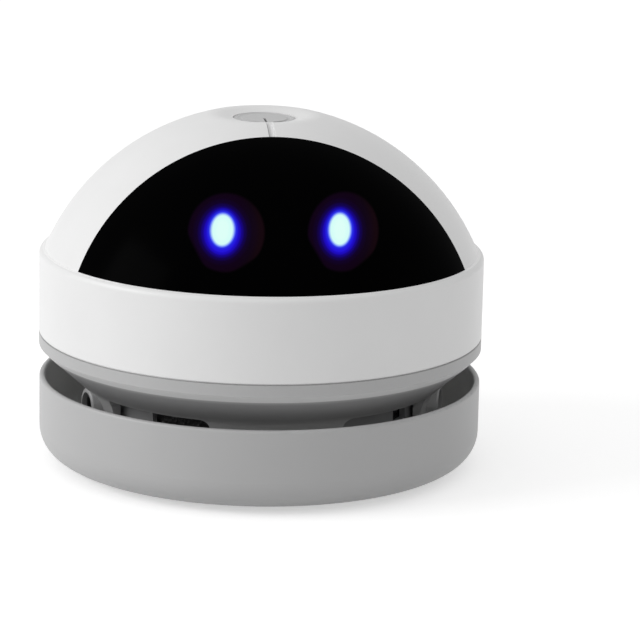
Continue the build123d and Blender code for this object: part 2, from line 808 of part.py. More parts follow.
# Steel shaft, from the fan's hub through both bushes.
hub_z = fan_top_z - fan_h
with BuildPart() as motor_shaft:
    with BuildSketch(Plane.XY.offset(hub_z)):
        Circle(shaft_r)
    extrude(amount=motor_top_z + shaft_top_reach - hub_z)
    chamfer(motor_shaft.edges().group_by(Axis.Z)[-1], 0.2)
save(motor_shaft.part, "motor_shaft")

# Three-pole armature: a stack of T-shaped poles, pressed on the shaft.
shoe_in_r = armature_r - pole_shoe_t
with BuildPart() as armature:
    with BuildSketch(Plane.XY.offset(armature_z)):
        Circle(pole_hub_r)
        with PolarLocations(shoe_in_r / 2, pole_count, start_angle=90):
            Rectangle(shoe_in_r + pole_shoe_t / 2, pole_w)
        for index in range(pole_count):
            start = 90 + index * 360 / pole_count - pole_shoe_half
            add(sector(shoe_in_r, armature_r, start, start + 2 * pole_shoe_half))
        Circle(shaft_r, mode=Mode.SUBTRACT)
    extrude(amount=armature_h)
save(armature.part, "armature")

# Centrifugal fan. The blades start at the eye and fall back against the turn. The back
# plate is dished, so that it lifts towards its rim, and the hub takes the shaft.
blade_z = inlet_top_z + fan_gap
blade_far_r = fan_r - blade_tip_gap
bow_r = (blade_in_r + blade_far_r) / 2 + blade_bow
with BuildPart() as fan:
    with BuildSketch(Plane.XZ):
        with BuildLine():
            Polyline(
                (shaft_r, hub_z),
                (fan_hub_r - fan_hub_bevel, hub_z),
                (fan_hub_r, fan_top_z - fan_dish_h),
                (fan_dish_r, fan_top_z - fan_plate_t),
                (fan_r, fan_top_z - fan_plate_t),
                (fan_r, fan_top_z),
                (shaft_r, fan_top_z),
                close=True,
            )
        make_face()
    revolve(axis=Axis.Z)
    with BuildSketch(Plane.XY.offset(blade_z)):
        for index in range(blade_count):
            turn = index * 360 / blade_count
            root = Vector(blade_in_r, 0).rotate(Axis.Z, turn)
            bow = Vector(bow_r, 0).rotate(Axis.Z, turn - blade_bow_angle)
            tip = Vector(blade_far_r, 0).rotate(Axis.Z, turn - blade_sweep)
            with BuildLine() as camber:
                ThreePointArc(root, bow, tip)
            with BuildSketch(mode=Mode.PRIVATE) as blade:
                with BuildLine():
                    add(camber.line)
                    offset(amount=blade_t / 2, side=Side.BOTH)
                make_face()
            add(blade.sketch)
    extrude(amount=fan_top_z - fan_plate_t / 2 - blade_z)
save(fan.part, "fan")

# ---------------------------------------------------------------- head: band

# White ring between the lip and the dome. Four screws go down through its inner bosses
# into the neck's own, and clamp the deck between them.
usb_z = usb_board_z + board_t + usb_h / 2
screw_seat_z = deck_top_z + screw_land
boss_top_z = screw_seat_z + boss_top_gap
web_z = seam_z + spigot_h + fit_gap

with BuildPart() as band_shell:
    with BuildSketch(Plane.XZ) as band_profile:
        with BuildLine():
            Polyline(
                (band_in_r, seam_z),
                (body_r - seam_chamfer, seam_z),
                (body_r, seam_z + seam_chamfer),
                (body_r, band_top_z),
                (band_in_r, band_top_z),
                close=True,
            )
        make_face()
        fillet(corner(band_profile, body_r, band_top_z), shoulder_r - 0.01)
    revolve(axis=Axis.Z)
    with BuildSketch(Plane.XY.offset(web_z)):
        for angle in case_screw_angles:
            with PolarLocations((case_screw_ring_r + band_in_r) / 2, 1, start_angle=angle):
                Rectangle(band_in_r - case_screw_ring_r + band_wall / 2, web_w)
    extrude(amount=boss_top_z - web_z)
    with BuildSketch(Plane.XY.offset(deck_top_z)):
        for angle in case_screw_angles:
            with PolarLocations(case_screw_ring_r, 1, start_angle=angle):
                Circle(boss_r)
    extrude(amount=boss_top_z - deck_top_z)
    with BuildSketch(Plane.XY.offset(deck_top_z)):
        for angle in case_screw_angles:
            with PolarLocations(case_screw_ring_r, 1, start_angle=angle):
                Circle(screw_r + running_gap)
    extrude(amount=screw_land, mode=Mode.SUBTRACT)
    with BuildSketch(Plane.XY.offset(screw_seat_z)):
        for angle in case_screw_angles:
            with PolarLocations(case_screw_ring_r, 1, start_angle=angle):
                Circle(screw_head_r + screw_seat_gap)
    extrude(amount=boss_top_gap, mode=Mode.SUBTRACT)
    # Slot for the charging plug, at the back.
    with BuildSketch(Plane.XZ.offset(-body_r - cut_over)):
        with Locations((0, usb_z)):
            RectangleRounded(
                usb_w + 2 * usb_slot_margin,
                usb_h + 2 * usb_slot_margin,
                usb_slot_corner_r,
            )
    extrude(amount=band_wall + 2 * cut_over, mode=Mode.SUBTRACT)
save(band_shell.part, "band_shell")

# Pan-head screws, down through the band's bosses and the deck into the neck's bosses.
case_screw_len = screw_seat_z - case_hole_z - screw_end_gap
with BuildPart() as case_screws:
    with BuildSketch(Plane.XY.offset(screw_seat_z)):
        for angle in case_screw_angles:
            with PolarLocations(case_screw_ring_r, 1, start_angle=angle):
                Circle(screw_r)
    extrude(amount=-case_screw_len)
    with BuildSketch(Plane.XY.offset(screw_seat_z)):
        for angle in case_screw_angles:
            with PolarLocations(case_screw_ring_r, 1, start_angle=angle):
                Circle(screw_head_r)
    extrude(amount=screw_head_h)
    with BuildSketch(Plane.XY.offset(screw_seat_z + screw_head_h)):
        for angle in case_screw_angles:
            with PolarLocations(case_screw_ring_r, 1, start_angle=angle):
                Rectangle(screw_slot_len, screw_slot_w)
                Rectangle(screw_slot_w, screw_slot_len)
    extrude(amount=-screw_slot_depth, mode=Mode.SUBTRACT)
save(case_screws.part, "case_screws")

# ---------------------------------------------------------------- head: dome and visor

rebate_in_r = dome_in_r - rebate_t


def cap(outer, inner, foot_z):
    """Spherical cap shell about the dome's centre, cut level at foot_z, as a part."""
    rise = foot_z - dome_centre_z
    with BuildPart() as shell:
        with BuildSketch(Plane.XZ):
            with BuildLine():
                out = CenterArc(
                    (0, dome_centre_z), outer, degrees(asin(rise / outer)),
                    90 - degrees(asin(rise / outer)),
                )
                near = CenterArc(
                    (0, dome_centre_z), inner, degrees(asin(rise / inner)),
                    90 - degrees(asin(rise / inner)),
                )
                Line(out @ 0, near @ 0)
                Line(out @ 1, near @ 1)
            make_face()
        revolve(axis=Axis.Z)
    return shell.part


# Channel down the middle of the forehead, from the dish to the visor.
with BuildPart() as groove:
    add(cap(dome_r + cut_over, dome_r - groove_depth, band_top_z))
    with BuildSketch(Plane.XY.offset(band_top_z)):
        with Locations((0, -dome_r / 2)):
            Rectangle(groove_w, dome_r)
    extrude(amount=dome_r, mode=Mode.INTERSECT)

# The dome: a cap of the sphere behind the visor's plane, its spigot in the band, the
# dish and guide tube of the button, and three posts for the main board.
post_top_z = dome_centre_z + sqrt((dome_r - dome_wall / 2) ** 2 - (post_ring_r + post_r) ** 2)
sleeve_r = bore_r + sleeve_t
sleeve_top_z = dome_centre_z + sqrt((dome_r - dome_wall / 2) ** 2 - sleeve_r ** 2)

with BuildPart() as visor_seat:
    add(cap(dome_r + cut_over, dome_in_r, band_top_z))
    split(bisect_by=visor_plane, keep=Keep.TOP)

with BuildPart() as dome_hollow:
    add(cap(dome_in_r, rebate_in_r - cut_over, band_top_z))
    split(bisect_by=visor_plane.offset(-rebate_w), keep=Keep.BOTTOM)

with BuildPart() as dome_shell:
    add(cap(dome_r, rebate_in_r, band_top_z))
    split(bisect_by=visor_plane.offset(rebate_w), keep=Keep.BOTTOM)
    add(visor_seat.part, mode=Mode.SUBTRACT)
    add(dome_hollow.part, mode=Mode.SUBTRACT)
    with BuildSketch(Plane.XY.offset(band_top_z - dome_spigot_h)):
        ring(spigot_r - dome_spigot_t, spigot_r)
    extrude(amount=dome_spigot_h)
    with BuildSketch(Plane.XY.offset(sleeve_z)):
        Circle(sleeve_r)
    extrude(amount=sleeve_top_z - sleeve_z)
    with BuildSketch(Plane.XY.offset(board_top_z)):
        for angle in post_angles:
            with PolarLocations(post_ring_r, 1, start_angle=angle):
                Circle(post_r)
    extrude(amount=post_top_z - board_top_z)
    with BuildSketch(Plane.XY.offset(board_top_z)):
        for angle in post_angles:
            with PolarLocations(post_ring_r, 1, start_angle=angle):
                Circle(screw_r + running_gap)
    extrude(amount=board_screw_bite + screw_end_gap, mode=Mode.SUBTRACT)
    with BuildSketch(Plane.XZ):
        with BuildLine():
            Polyline(
                (0, dish_z),
                (bore_r + dish_land, dish_z),
                (dish_r, dish_rim_z),
                (dish_r, dish_rim_z + dish_r),
                (0, dish_rim_z + dish_r),
                close=True,
            )
        make_face()
    revolve(axis=Axis.Z, mode=Mode.SUBTRACT)
    dish_rim = dome_shell.edges().sort_by_distance((-dish_r, 0, dish_rim_z))[0]
    fillet(dish_rim, dish_edge_r)
    with BuildSketch(Plane.XY.offset(sleeve_z)):
        Circle(bore_r)
    extrude(amount=dish_z - sleeve_z, mode=Mode.SUBTRACT)
    add(groove.part, mode=Mode.SUBTRACT)
save(dome_shell.part, "dome_shell")

# Smoked gloss visor: the part of the same sphere in front of the plane, bonded to the
# rebate, with its lower edge on the band.
with BuildPart() as visor_lens:
    add(cap(dome_r, dome_in_r, band_top_z))
    split(bisect_by=visor_plane, keep=Keep.TOP)
save(visor_lens.part, "visor_lens")

# ---------------------------------------------------------------- button and switch

# Round cap with a skirt that slides in the dome's tube, a flange that keeps it in, and
# a stem that presses the switch.
plunger_top_z = switch_top_z + button_travel + plunger_up
with BuildPart() as power_button:
    with BuildSketch(Plane.XZ) as button_profile:
        with BuildLine():
            Polyline(
                (0, button_top_z),
                (button_r, button_top_z),
                (button_r, button_skirt_z),
                (flange_r, button_skirt_z),
                (flange_r, button_skirt_z - button_flange_h),
                (button_r - button_skirt_t, button_skirt_z - button_flange_h),
                (button_r - button_skirt_t, button_under_z),
                (stem_r, button_under_z),
                (stem_r, plunger_top_z),
                (0, plunger_top_z),
                close=True,
            )
        make_face()
        fillet(corner(button_profile, button_r, button_top_z), button_edge_r)
    revolve(axis=Axis.Z)
save(power_button.part, "power_button")

# Return spring round the stem, from the switch's top to the button's underside.
spring_pitch = (button_under_z - switch_top_z - 2 * spring_wire_r) / spring_turns
with BuildPart() as button_spring:
    with BuildLine(Plane.XY.offset(switch_top_z + spring_wire_r)) as coil:
        Helix(spring_pitch, spring_pitch * spring_turns, spring_r)
    with BuildSketch(Plane(origin=coil.line @ 0, z_dir=coil.line % 0)):
        RegularPolygon(spring_wire_r, 6)
    sweep(is_frenet=True)
save(button_spring.part, "button_spring")

# Push switch: a square body with a bore for its plunger.
with BuildPart() as push_switch:
    with BuildSketch(Plane.XY.offset(board_top_z)):
        Rectangle(switch_side, switch_side)
    extrude(amount=switch_h)
    chamfer(push_switch.edges().filter_by(Axis.Z), switch_corner)
    with BuildSketch(Plane.XY.offset(switch_top_z)):
        Circle(plunger_r + running_gap)
    extrude(amount=-button_travel - plunger_in - button_stop_gap, mode=Mode.SUBTRACT)
save(push_switch.part, "push_switch")

with BuildPart() as switch_plunger:
    with BuildSketch(Plane.XY.offset(switch_top_z - plunger_in)):
        Circle(plunger_r)
    extrude(amount=plunger_top_z - switch_top_z + plunger_in)
save(switch_plunger.part, "switch_plunger")

# ---------------------------------------------------------------- head: main board

# Round board under the crown, held to the dome's posts by three screws.
board_z = board_top_z - board_t
with BuildPart() as main_board:
    with BuildSketch(Plane.XY.offset(board_z)):
        Circle(main_board_r)
        for angle in post_angles:
            with PolarLocations(post_ring_r, 1, start_angle=angle):
                Circle(screw_r + running_gap, mode=Mode.SUBTRACT)
    extrude(amount=board_t)
save(main_board.part, "main_board")

# Charge controller, power transistor, coil and two capacitors on the board.
with BuildPart() as board_parts:
    with BuildSketch(Plane.XY.offset(board_top_z)):
        with Locations((-chip_x, chip_y)):
            Rectangle(controller_w, controller_len)
        with Locations((chip_x, chip_y)):
            Rectangle(transistor_w, transistor_len)
    extrude(amount=chip_h)
    with BuildSketch(Plane.XY.offset(board_top_z)):
        with Locations((0, -coil_y)):
            RectangleRounded(coil_side, coil_side, coil_corner_r)
    extrude(amount=coil_h)
    with BuildSketch(Plane.XY.offset(board_top_z)):
        with Locations((-capacitor_x, capacitor_y), (capacitor_x, capacitor_y)):
            Circle(capacitor_r)
    extrude(amount=capacitor_h)
save(board_parts.part, "board_parts")

with BuildPart() as board_screws:
    with BuildSketch(Plane.XY.offset(board_z)):
        for angle in post_angles:
            with PolarLocations(post_ring_r, 1, start_angle=angle):
                Circle(screw_r)
    extrude(amount=board_t + board_screw_bite)
    with BuildSketch(Plane.XY.offset(board_z)):
        for angle in post_angles:
            with PolarLocations(post_ring_r, 1, start_angle=angle):
                Circle(screw_head_r)
    extrude(amount=-screw_head_h)
save(board_screws.part, "board_screws")

# ---------------------------------------------------------------- head: eyes

# Upright board with two lamps, on a bracket that stands on the deck. A light pipe in
# front of each lamp reaches to the visor and gives the eye its oval.
led_board_z = eye_z - led_board_h / 2
led_corner_z = eye_z + led_board_h / 2 - dome_centre_z
led_corner_r = dome_in_r - led_corner_gap
led_board_y = sqrt(led_corner_r ** 2 - led_corner_z ** 2 - (led_board_w / 2) ** 2)
with BuildPart() as led_board:
    with BuildSketch(Plane.XZ.offset(led_board_y - board_t)):
        with Locations((0, eye_z)):
            RectangleRounded(led_board_w, led_board_h, 1.0)
    extrude(amount=board_t)
save(led_board.part, "led_board")

with BuildPart() as eye_lamps:
    with BuildSketch(Plane.XZ.offset(led_board_y)):
        with Locations((-eye_x, eye_z), (eye_x, eye_z)):
            Rectangle(lamp_w, lamp_h)
    extrude(amount=lamp_t)
save(eye_lamps.part, "eye_lamps")

for side, node in ((-1, "eye_pipe_left"), (1, "eye_pipe_right")):
    with BuildPart() as eye_pipe:
        with BuildSketch(Plane.XZ.offset(led_board_y + lamp_t)):
            with Locations((side * eye_x, eye_z)):
                Ellipse(eye_w / 2, eye_h / 2)
        extrude(amount=dome_r)
        with Locations((0, 0, dome_centre_z)):
            Sphere(dome_in_r - eye_gap, mode=Mode.INTERSECT)
    save(eye_pipe.part, node)

leg_x = led_board_w / 2 - bracket_leg_w / 2
bracket_y = led_board_y - board_t - bracket_t / 2
with BuildPart() as led_bracket:
    with BuildSketch(Plane.XZ.offset(bracket_y - bracket_t / 2)):
        with BuildLine():
            half = led_board_w / 2
            inner = half - bracket_leg_w
            top = eye_z + led_board_h / 2
            Polyline(
                (-half, deck_top_z),
                (-half, top),
                (half, top),
                (half, deck_top_z),
                (inner, deck_top_z),
                (inner, led_board_z),
                (-inner, led_board_z),
                (-inner, deck_top_z),
                close=True,
            )
        make_face()
    extrude(amount=bracket_t)
    with BuildSketch(Plane.XY.offset(deck_top_z)):
        with Locations((-leg_x, -bracket_y), (leg_x, -bracket_y)):
            Rectangle(bracket_foot_w, bracket_foot_len)
    extrude(amount=bracket_foot_t)
save(led_bracket.part, "led_bracket")

# ---------------------------------------------------------------- head: cell and socket

# Rechargeable cell: a plain can with a crimped neck and a raised cap at one end.
cell_end_x = cell_len / 2
shoulder_x = cell_end_x - cell_cap_h
crimp_x = shoulder_x - crimp_lip
with BuildPart() as battery_cell:
    with BuildSketch(Plane.XY.offset(cell_z)):
        with BuildLine():
            Polyline(
                (-cell_end_x, cell_y),
                (-cell_end_x, cell_y + cell_r),
                (crimp_x - crimp_w, cell_y + cell_r),
                (crimp_x - crimp_w / 2, cell_y + cell_r - crimp_depth),
                (crimp_x, cell_y + cell_r),
                (shoulder_x, cell_y + cell_r),
                (shoulder_x, cell_y + cell_cap_r),
                (cell_end_x, cell_y + cell_cap_r),
                (cell_end_x, cell_y),
                close=True,
            )
        make_face()
    revolve(axis=Axis((0, cell_y, cell_z), (1, 0, 0)))
save(battery_cell.part, "battery_cell")

with BuildPart() as usb_board:
    with BuildSketch(Plane.XY.offset(usb_board_z)):
        with Locations((0, usb_board_y + usb_board_len / 2)):
            Rectangle(usb_board_w, usb_board_len)
        with Locations((-peg_x, peg_y), (peg_x, peg_y)):
            Circle(peg_tip_r + running_gap, mode=Mode.SUBTRACT)
    extrude(amount=board_t)
save(usb_board.part, "usb_board")

# Micro-USB socket: a folded steel shell with a plastic tongue, its mouth at the band.
socket_y = band_in_r - turn_gap
with BuildPart() as usb_socket:
    with BuildSketch(Plane.XZ.offset(-socket_y)):
        with BuildLine():
            low = usb_z - usb_h / 2
            high = usb_z + usb_h / 2
            side = usb_w / 2
            Polyline(
                (-side + usb_bevel, low),
                (side - usb_bevel, low),
                (side, low + usb_bevel),
                (side, high),
                (-side, high),
                (-side, low + usb_bevel),
                close=True,
            )
        make_face()
    extrude(amount=usb_depth)
    mouth = usb_socket.faces().sort_by(Axis.Y)[-1]
    with BuildSketch(Plane.XZ.offset(-socket_y)):
        add(Plane.XZ.offset(-socket_y).to_local_coords(mouth))
        offset(amount=-usb_shell_t, mode=Mode.REPLACE)
        with Locations((0, usb_z + usb_tongue_up)):
            Rectangle(usb_tongue_w, usb_tongue_t, mode=Mode.SUBTRACT)
    extrude(amount=usb_depth - usb_back_t, mode=Mode.SUBTRACT)
save(usb_socket.part, "usb_socket")
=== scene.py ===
import math

import bpy
import numpy as np
from mathutils import Matrix, Vector


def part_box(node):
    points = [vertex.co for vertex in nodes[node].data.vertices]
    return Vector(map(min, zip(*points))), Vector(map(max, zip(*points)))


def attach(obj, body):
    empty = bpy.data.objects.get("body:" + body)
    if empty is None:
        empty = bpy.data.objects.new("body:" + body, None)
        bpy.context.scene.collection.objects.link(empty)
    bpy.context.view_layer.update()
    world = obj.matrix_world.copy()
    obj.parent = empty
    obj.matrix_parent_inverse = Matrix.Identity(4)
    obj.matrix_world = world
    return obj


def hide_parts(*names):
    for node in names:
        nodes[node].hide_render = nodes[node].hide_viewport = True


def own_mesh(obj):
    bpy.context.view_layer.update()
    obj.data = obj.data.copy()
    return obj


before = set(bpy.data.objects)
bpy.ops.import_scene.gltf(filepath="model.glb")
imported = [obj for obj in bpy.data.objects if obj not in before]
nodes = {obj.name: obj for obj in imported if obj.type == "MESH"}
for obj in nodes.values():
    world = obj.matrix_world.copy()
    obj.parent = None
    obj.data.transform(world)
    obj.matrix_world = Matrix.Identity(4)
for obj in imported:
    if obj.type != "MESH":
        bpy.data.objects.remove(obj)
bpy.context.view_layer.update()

# -------------------------------- camera
# A long lens a little above the table, turned slightly to the cleaner's right. Distances
# are in metres, turns in degrees, and the sensor and the lens in millimetres.
camera_target = Vector((0.0, 0.0, 0.0362))
camera_distance = 0.6245
camera_azimuth = -5.94
camera_elevation = 12.87
camera_pan, camera_tilt, camera_roll = 1.08, -0.72, 1.01
sensor_width = 36.0
lens_length = 176.9
clip_near, clip_far = 0.05, 20.0

azimuth = math.radians(camera_azimuth)
elevation = math.radians(camera_elevation)
backward = Vector((
    math.sin(azimuth) * math.cos(elevation),
    -math.cos(azimuth) * math.cos(elevation),
    math.sin(elevation),
))
camera = bpy.data.objects.new("camera", bpy.data.cameras.new("camera"))
bpy.context.scene.collection.objects.link(camera)
camera.data.sensor_width = sensor_width
camera.data.lens = lens_length
camera.data.clip_start = clip_near
camera.data.clip_end = clip_far
aim = (-backward).to_track_quat("-Z", "Y").to_matrix()
aim = aim @ Matrix.Rotation(math.radians(-camera_pan), 3, "Y")
aim = aim @ Matrix.Rotation(math.radians(camera_tilt), 3, "X")
aim = aim @ Matrix.Rotation(math.radians(camera_roll), 3, "Z")
camera.matrix_world = Matrix.Translation(camera_target + backward * camera_distance) @ aim.to_4x4()
bpy.context.scene.camera = camera
bpy.context.scene.view_settings.view_transform = "Standard"

# -------------------------------- light and floor
# A broad soft box from the left and an even room. To the eye, in gloss and through glass
# the room and the table are white; as lights they are dimmer, so that pale plastic
# keeps its shading and the table keeps the cleaner's soft shadow.
room_light = 0.755
room_white = 1.0
box_side = 0.9
box_power = 10.6
box_place = Vector((-1.45, -0.22, 0.66))
box_aim = Vector((0.0, 0.0, 0.03))
table_size = 8.0
table_albedo = 0.8
table_roughness = 0.9
table_lift = 0.50            # white added to what the eye sees of the table


def put(tree, kind, inputs=None, **settings):
    """Adds a node. An input that is given a socket is linked to it, and any other is set."""
    node = tree.nodes.new(kind)
    for key, value in settings.items():
        setattr(node, key, value)
    for key, value in (inputs or {}).items():
        if isinstance(value, bpy.types.NodeSocket):
            tree.links.new(value, node.inputs[key])
        else:
            node.inputs[key].default_value = value
    return node


def maths(tree, operation, *values):
    """The result of a Math node on sockets or numbers."""
    return put(tree, "ShaderNodeMath", dict(enumerate(values)), operation=operation).outputs[0]


def ranged(tree, value, start=0.0, end=1.0, low=0.0, high=1.0, **settings):
    """Turns a value that runs from start to end into one from low to high, held beyond."""
    inputs = {"Value": value, "From Min": start, "From Max": end, "To Min": low, "To Max": high}
    return put(tree, "ShaderNodeMapRange", inputs, **settings).outputs["Result"]


def seen_directly(tree):
    """1 for camera, glossy and transmission rays, 0 for the rays that only bring light."""
    rays = put(tree, "ShaderNodeLightPath").outputs
    mirrored = maths(tree, "MAXIMUM", rays["Is Glossy Ray"], rays["Is Transmission Ray"])
    return maths(tree, "MAXIMUM", rays["Is Camera Ray"], mirrored)


world = bpy.data.worlds.new("room")
bpy.context.scene.world = world
world.use_nodes = True
tree = world.node_tree
tree.nodes.clear()
strength = ranged(tree, seen_directly(tree), low=room_light, high=room_white)
background = put(tree, "ShaderNodeBackground", {"Strength": strength})
put(tree, "ShaderNodeOutputWorld", {"Surface": background.outputs[0]})

lamp = bpy.data.objects.new("soft_box", bpy.data.lights.new("soft_box", "AREA"))
bpy.context.scene.collection.objects.link(lamp)
lamp.data.size = box_side
lamp.data.energy = box_power
lamp.location = box_place
lamp.rotation_mode = "QUATERNION"
lamp.rotation_quaternion = (box_aim - box_place).to_track_quat("-Z", "Y")

table_top = bpy.data.meshes.new("table_top")
half = table_size / 2
table_corners = [(-half, -half, 0), (half, -half, 0), (half, half, 0), (-half, half, 0)]
table_top.from_pydata(table_corners, [], [(0, 1, 2, 3)])
floor = bpy.data.objects.new("floor", table_top)
bpy.context.scene.collection.objects.link(floor)
table_paper = bpy.data.materials.new("table_paper")
table_paper.use_nodes = True
tree = table_paper.node_tree
shader = tree.nodes["Principled BSDF"]
shader.inputs["Base Color"].default_value = (table_albedo, table_albedo, table_albedo, 1)
shader.inputs["Roughness"].default_value = table_roughness
shader.inputs["Specular IOR Level"].default_value = 0.0
shader.inputs["Emission Color"].default_value = (1, 1, 1, 1)
lift = maths(tree, "MULTIPLY", seen_directly(tree), table_lift)
tree.links.new(lift, shader.inputs["Emission Strength"])
table_top.materials.append(table_paper)

# -------------------------------- bowl
# The open bowl that is both foot and dust tray: one moulding of light grey ABS with a
# fine spark-eroded satin, its floor, port and bayonet collar in one piece. Its inside is
# painted paler than the outside: painted light in the shaded cavity under the lip.
mm = 0.001
grey_abs = (0.485, 0.485, 0.487, 1)
satin = 0.42                 # roughness of the satin outside
satin_grain = 0.22 * mm      # size of the texture of the mould
satin_depth = 0.004 * mm
satin_mirror = 0.42          # its specular level
cloud_scale = 55.0           # clouds in a moulded skin, in waves for each metre
cloud_tone = 0.015           # how far they change its tone
cloud_gloss = 0.05           # and its roughness
speck_scale = 260.0          # cells that may hold a speck of dust, for each metre
speck_r, speck_end = 0.012, 0.030    # a speck's full and outer radius, in cells
speck_rarity = 0.93          # share of the cells that hold none
speck_colour = (0.16, 0.155, 0.15, 1)
speck_dulling = 0.2
bowl_low, bowl_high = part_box("base_bowl")
bowl_wall = 1.2 * mm
bowl_edge_r = 5.9 * mm       # rounding under the bowl's side
inside_light_over, inside_light_soft = 0.02 * mm, 0.05 * mm    # the painted light's edge: past the wall's face, and fade
inside_light_colour = (0.74, 0.74, 0.73, 1)


def mixed(tree, amount, first, second, **settings):
    """The first colour, and by the amount the second or a blend of both."""
    inputs = {0: amount, 6: first, 7: second}
    return put(tree, "ShaderNodeMix", inputs, data_type="RGBA", **settings).outputs[2]


def vectors(tree, operation, *values):
    """The result of a Vector Math node, which for a length or a dot product is a number."""
    outputs = put(tree, "ShaderNodeVectorMath", dict(enumerate(values)), operation=operation).outputs
    return outputs["Value" if operation in ("LENGTH", "DOT_PRODUCT") else "Vector"]


def noise(tree, place, scale, detail, roughness=0.5):
    """The value of a noise of so many waves for each metre."""
    inputs = {"Vector": place, "Scale": scale, "Detail": detail, "Roughness": roughness}
    return put(tree, "ShaderNodeTexNoise", inputs).outputs["Fac"]


def start_group(name, inputs, outputs):
    """A shader node group with the given sockets, and its input and output nodes."""
    group = bpy.data.node_groups.new(name, "ShaderNodeTree")
    for label, (kind, value) in inputs.items():
        socket = group.interface.new_socket(label, in_out="INPUT", socket_type=kind)
        if value is not None:
            socket.default_value = value
    for label, kind in outputs.items():
        group.interface.new_socket(label, in_out="OUTPUT", socket_type=kind)
    return group, group.nodes.new("NodeGroupInput"), group.nodes.new("NodeGroupOutput")


def end_group(group, end, outputs):
    """Links the named outputs of a group."""
    for label, socket in outputs.items():
        group.links.new(socket, end.inputs[label])
    return group


def mould_group():
    """Moulded skin: fine grain for height, slow cloudiness in gloss and tone where the
    melt cooled unevenly, and rare specks of dust, each inside one cell of a cell pattern."""
    group, start, end = start_group(
        "moulded_skin",
        {"Place": ("NodeSocketVector", None), "Colour": ("NodeSocketColor", (0.5, 0.5, 0.5, 1)),
         "Grain Size": ("NodeSocketFloat", 0.0003), "Gloss": ("NodeSocketFloat", 0.4),
         "Dust": ("NodeSocketFloat", 0.5)},
        {"Colour": "NodeSocketColor", "Roughness": "NodeSocketFloat", "Height": "NodeSocketFloat"},
    )
    given = start.outputs
    grain = noise(group, given["Place"], maths(group, "DIVIDE", 1.0, given["Grain Size"]),
                  detail=2.0, roughness=0.6)
    cloud = noise(group, given["Place"], cloud_scale, detail=3.0)
    tone = ranged(group, cloud, 0.3, 0.7, 1 - cloud_tone, 1 + cloud_tone)
    tinted = put(group, "ShaderNodeHueSaturation", {"Color": given["Colour"], "Value": tone})
    cells = put(group, "ShaderNodeTexVoronoi", {"Vector": given["Place"], "Scale": speck_scale}).outputs
    near = ranged(group, cells["Distance"], speck_r, speck_end, 1.0, 0.0)
    pick = put(group, "ShaderNodeSeparateColor", {"Color": cells["Color"]}).outputs["Red"]
    speck = maths(group, "MULTIPLY", near, maths(group, "GREATER_THAN", pick, speck_rarity))
    dusty = maths(group, "MULTIPLY", speck, given["Dust"])
    specked = mixed(group, dusty, tinted.outputs["Color"], speck_colour)
    cloudy = ranged(group, cloud, 0.25, 0.75, -cloud_gloss, cloud_gloss)
    gloss = maths(group, "ADD", given["Gloss"], cloudy)
    dulled = maths(group, "MULTIPLY_ADD", dusty, speck_dulling, gloss)
    return end_group(group, end, {"Colour": specked, "Roughness": dulled, "Height": grain})


moulded_skin = mould_group()


def start_material(name, **fixed):
    """A material with its shader's plain sockets set, its tree and its object coordinates."""
    material = bpy.data.materials.new(name)
    material.use_nodes = True
    tree = material.node_tree
    shader = tree.nodes["Principled BSDF"]
    for label, value in fixed.items():
        shader.inputs[label.replace("_", " ")].default_value = value
    return material, tree, shader, put(tree, "ShaderNodeTexCoord").outputs["Object"]


def wire(tree, shader, colour, roughness, height=None, depth=0.0):
    """Links colour and roughness to the shader, and a height of that depth as its bump."""
    tree.links.new(colour, shader.inputs["Base Color"])
    tree.links.new(roughness, shader.inputs["Roughness"])
    if height is not None:
        bump = put(tree, "ShaderNodeBump", {"Height": height, "Distance": depth, "Strength": 1.0})
        tree.links.new(bump.outputs["Normal"], shader.inputs["Normal"])


def skin_of(tree, place, colour, gloss, grain, dust):
    """The moulded skin with these values, as its outputs."""
    inputs = {"Place": place, "Colour": colour, "Grain Size": grain, "Gloss": gloss, "Dust": dust}
    return put(tree, "ShaderNodeGroup", inputs, node_tree=moulded_skin).outputs


def moulded(name, colour, gloss, grain, depth, dust=0.5, **fixed):
    """A moulded plastic: colour, gloss and texture are the moulded skin's."""
    material, tree, shader, place = start_material(name, **fixed)
    skin = skin_of(tree, place, colour, gloss, grain, dust)
    wire(tree, shader, skin["Colour"], skin["Roughness"], skin["Height"], depth)
    return material


def grey_moulding(name):
    """Light grey ABS from a spark-eroded mould."""
    return moulded(name, grey_abs, satin, satin_grain, satin_depth, Specular_IOR_Level=satin_mirror)


def dress(material, *names):
    """Gives the CAD nodes' own meshes their material."""
    for name in names:
        mesh = nodes[name].data
        mesh.materials.clear()
        mesh.materials.append(material)


def between(tree, value, low, high, soft):
    """1 where the value lies from low to high, and 0 from a soft edge's width outside that."""
    rise = ranged(tree, value, low - soft, low)
    fall = ranged(tree, value, high, high + soft, 1.0, 0.0)
    return maths(tree, "MULTIPLY", rise, fall)


def axes(tree, place):
    """X, Y, Z and the distance from the cleaner's axis, as sockets."""
    parts = put(tree, "ShaderNodeSeparateXYZ", {0: place}).outputs
    flat = vectors(tree, "MULTIPLY", place, (1, 1, 0))
    return parts["X"], parts["Y"], parts["Z"], vectors(tree, "LENGTH", flat)


def lay_over(material, mask, colour):
    """Lays a colour over a material by a mask, a function of its tree, X, Y, Z and radius."""
    tree = material.node_tree
    base = tree.nodes["Principled BSDF"].inputs["Base Color"]
    place = next(node for node in tree.nodes if node.type == "TEX_COORD").outputs["Object"]
    amount = mask(tree, *axes(tree, place))
    tree.links.new(mixed(tree, amount, base.links[0].from_socket, colour), base)


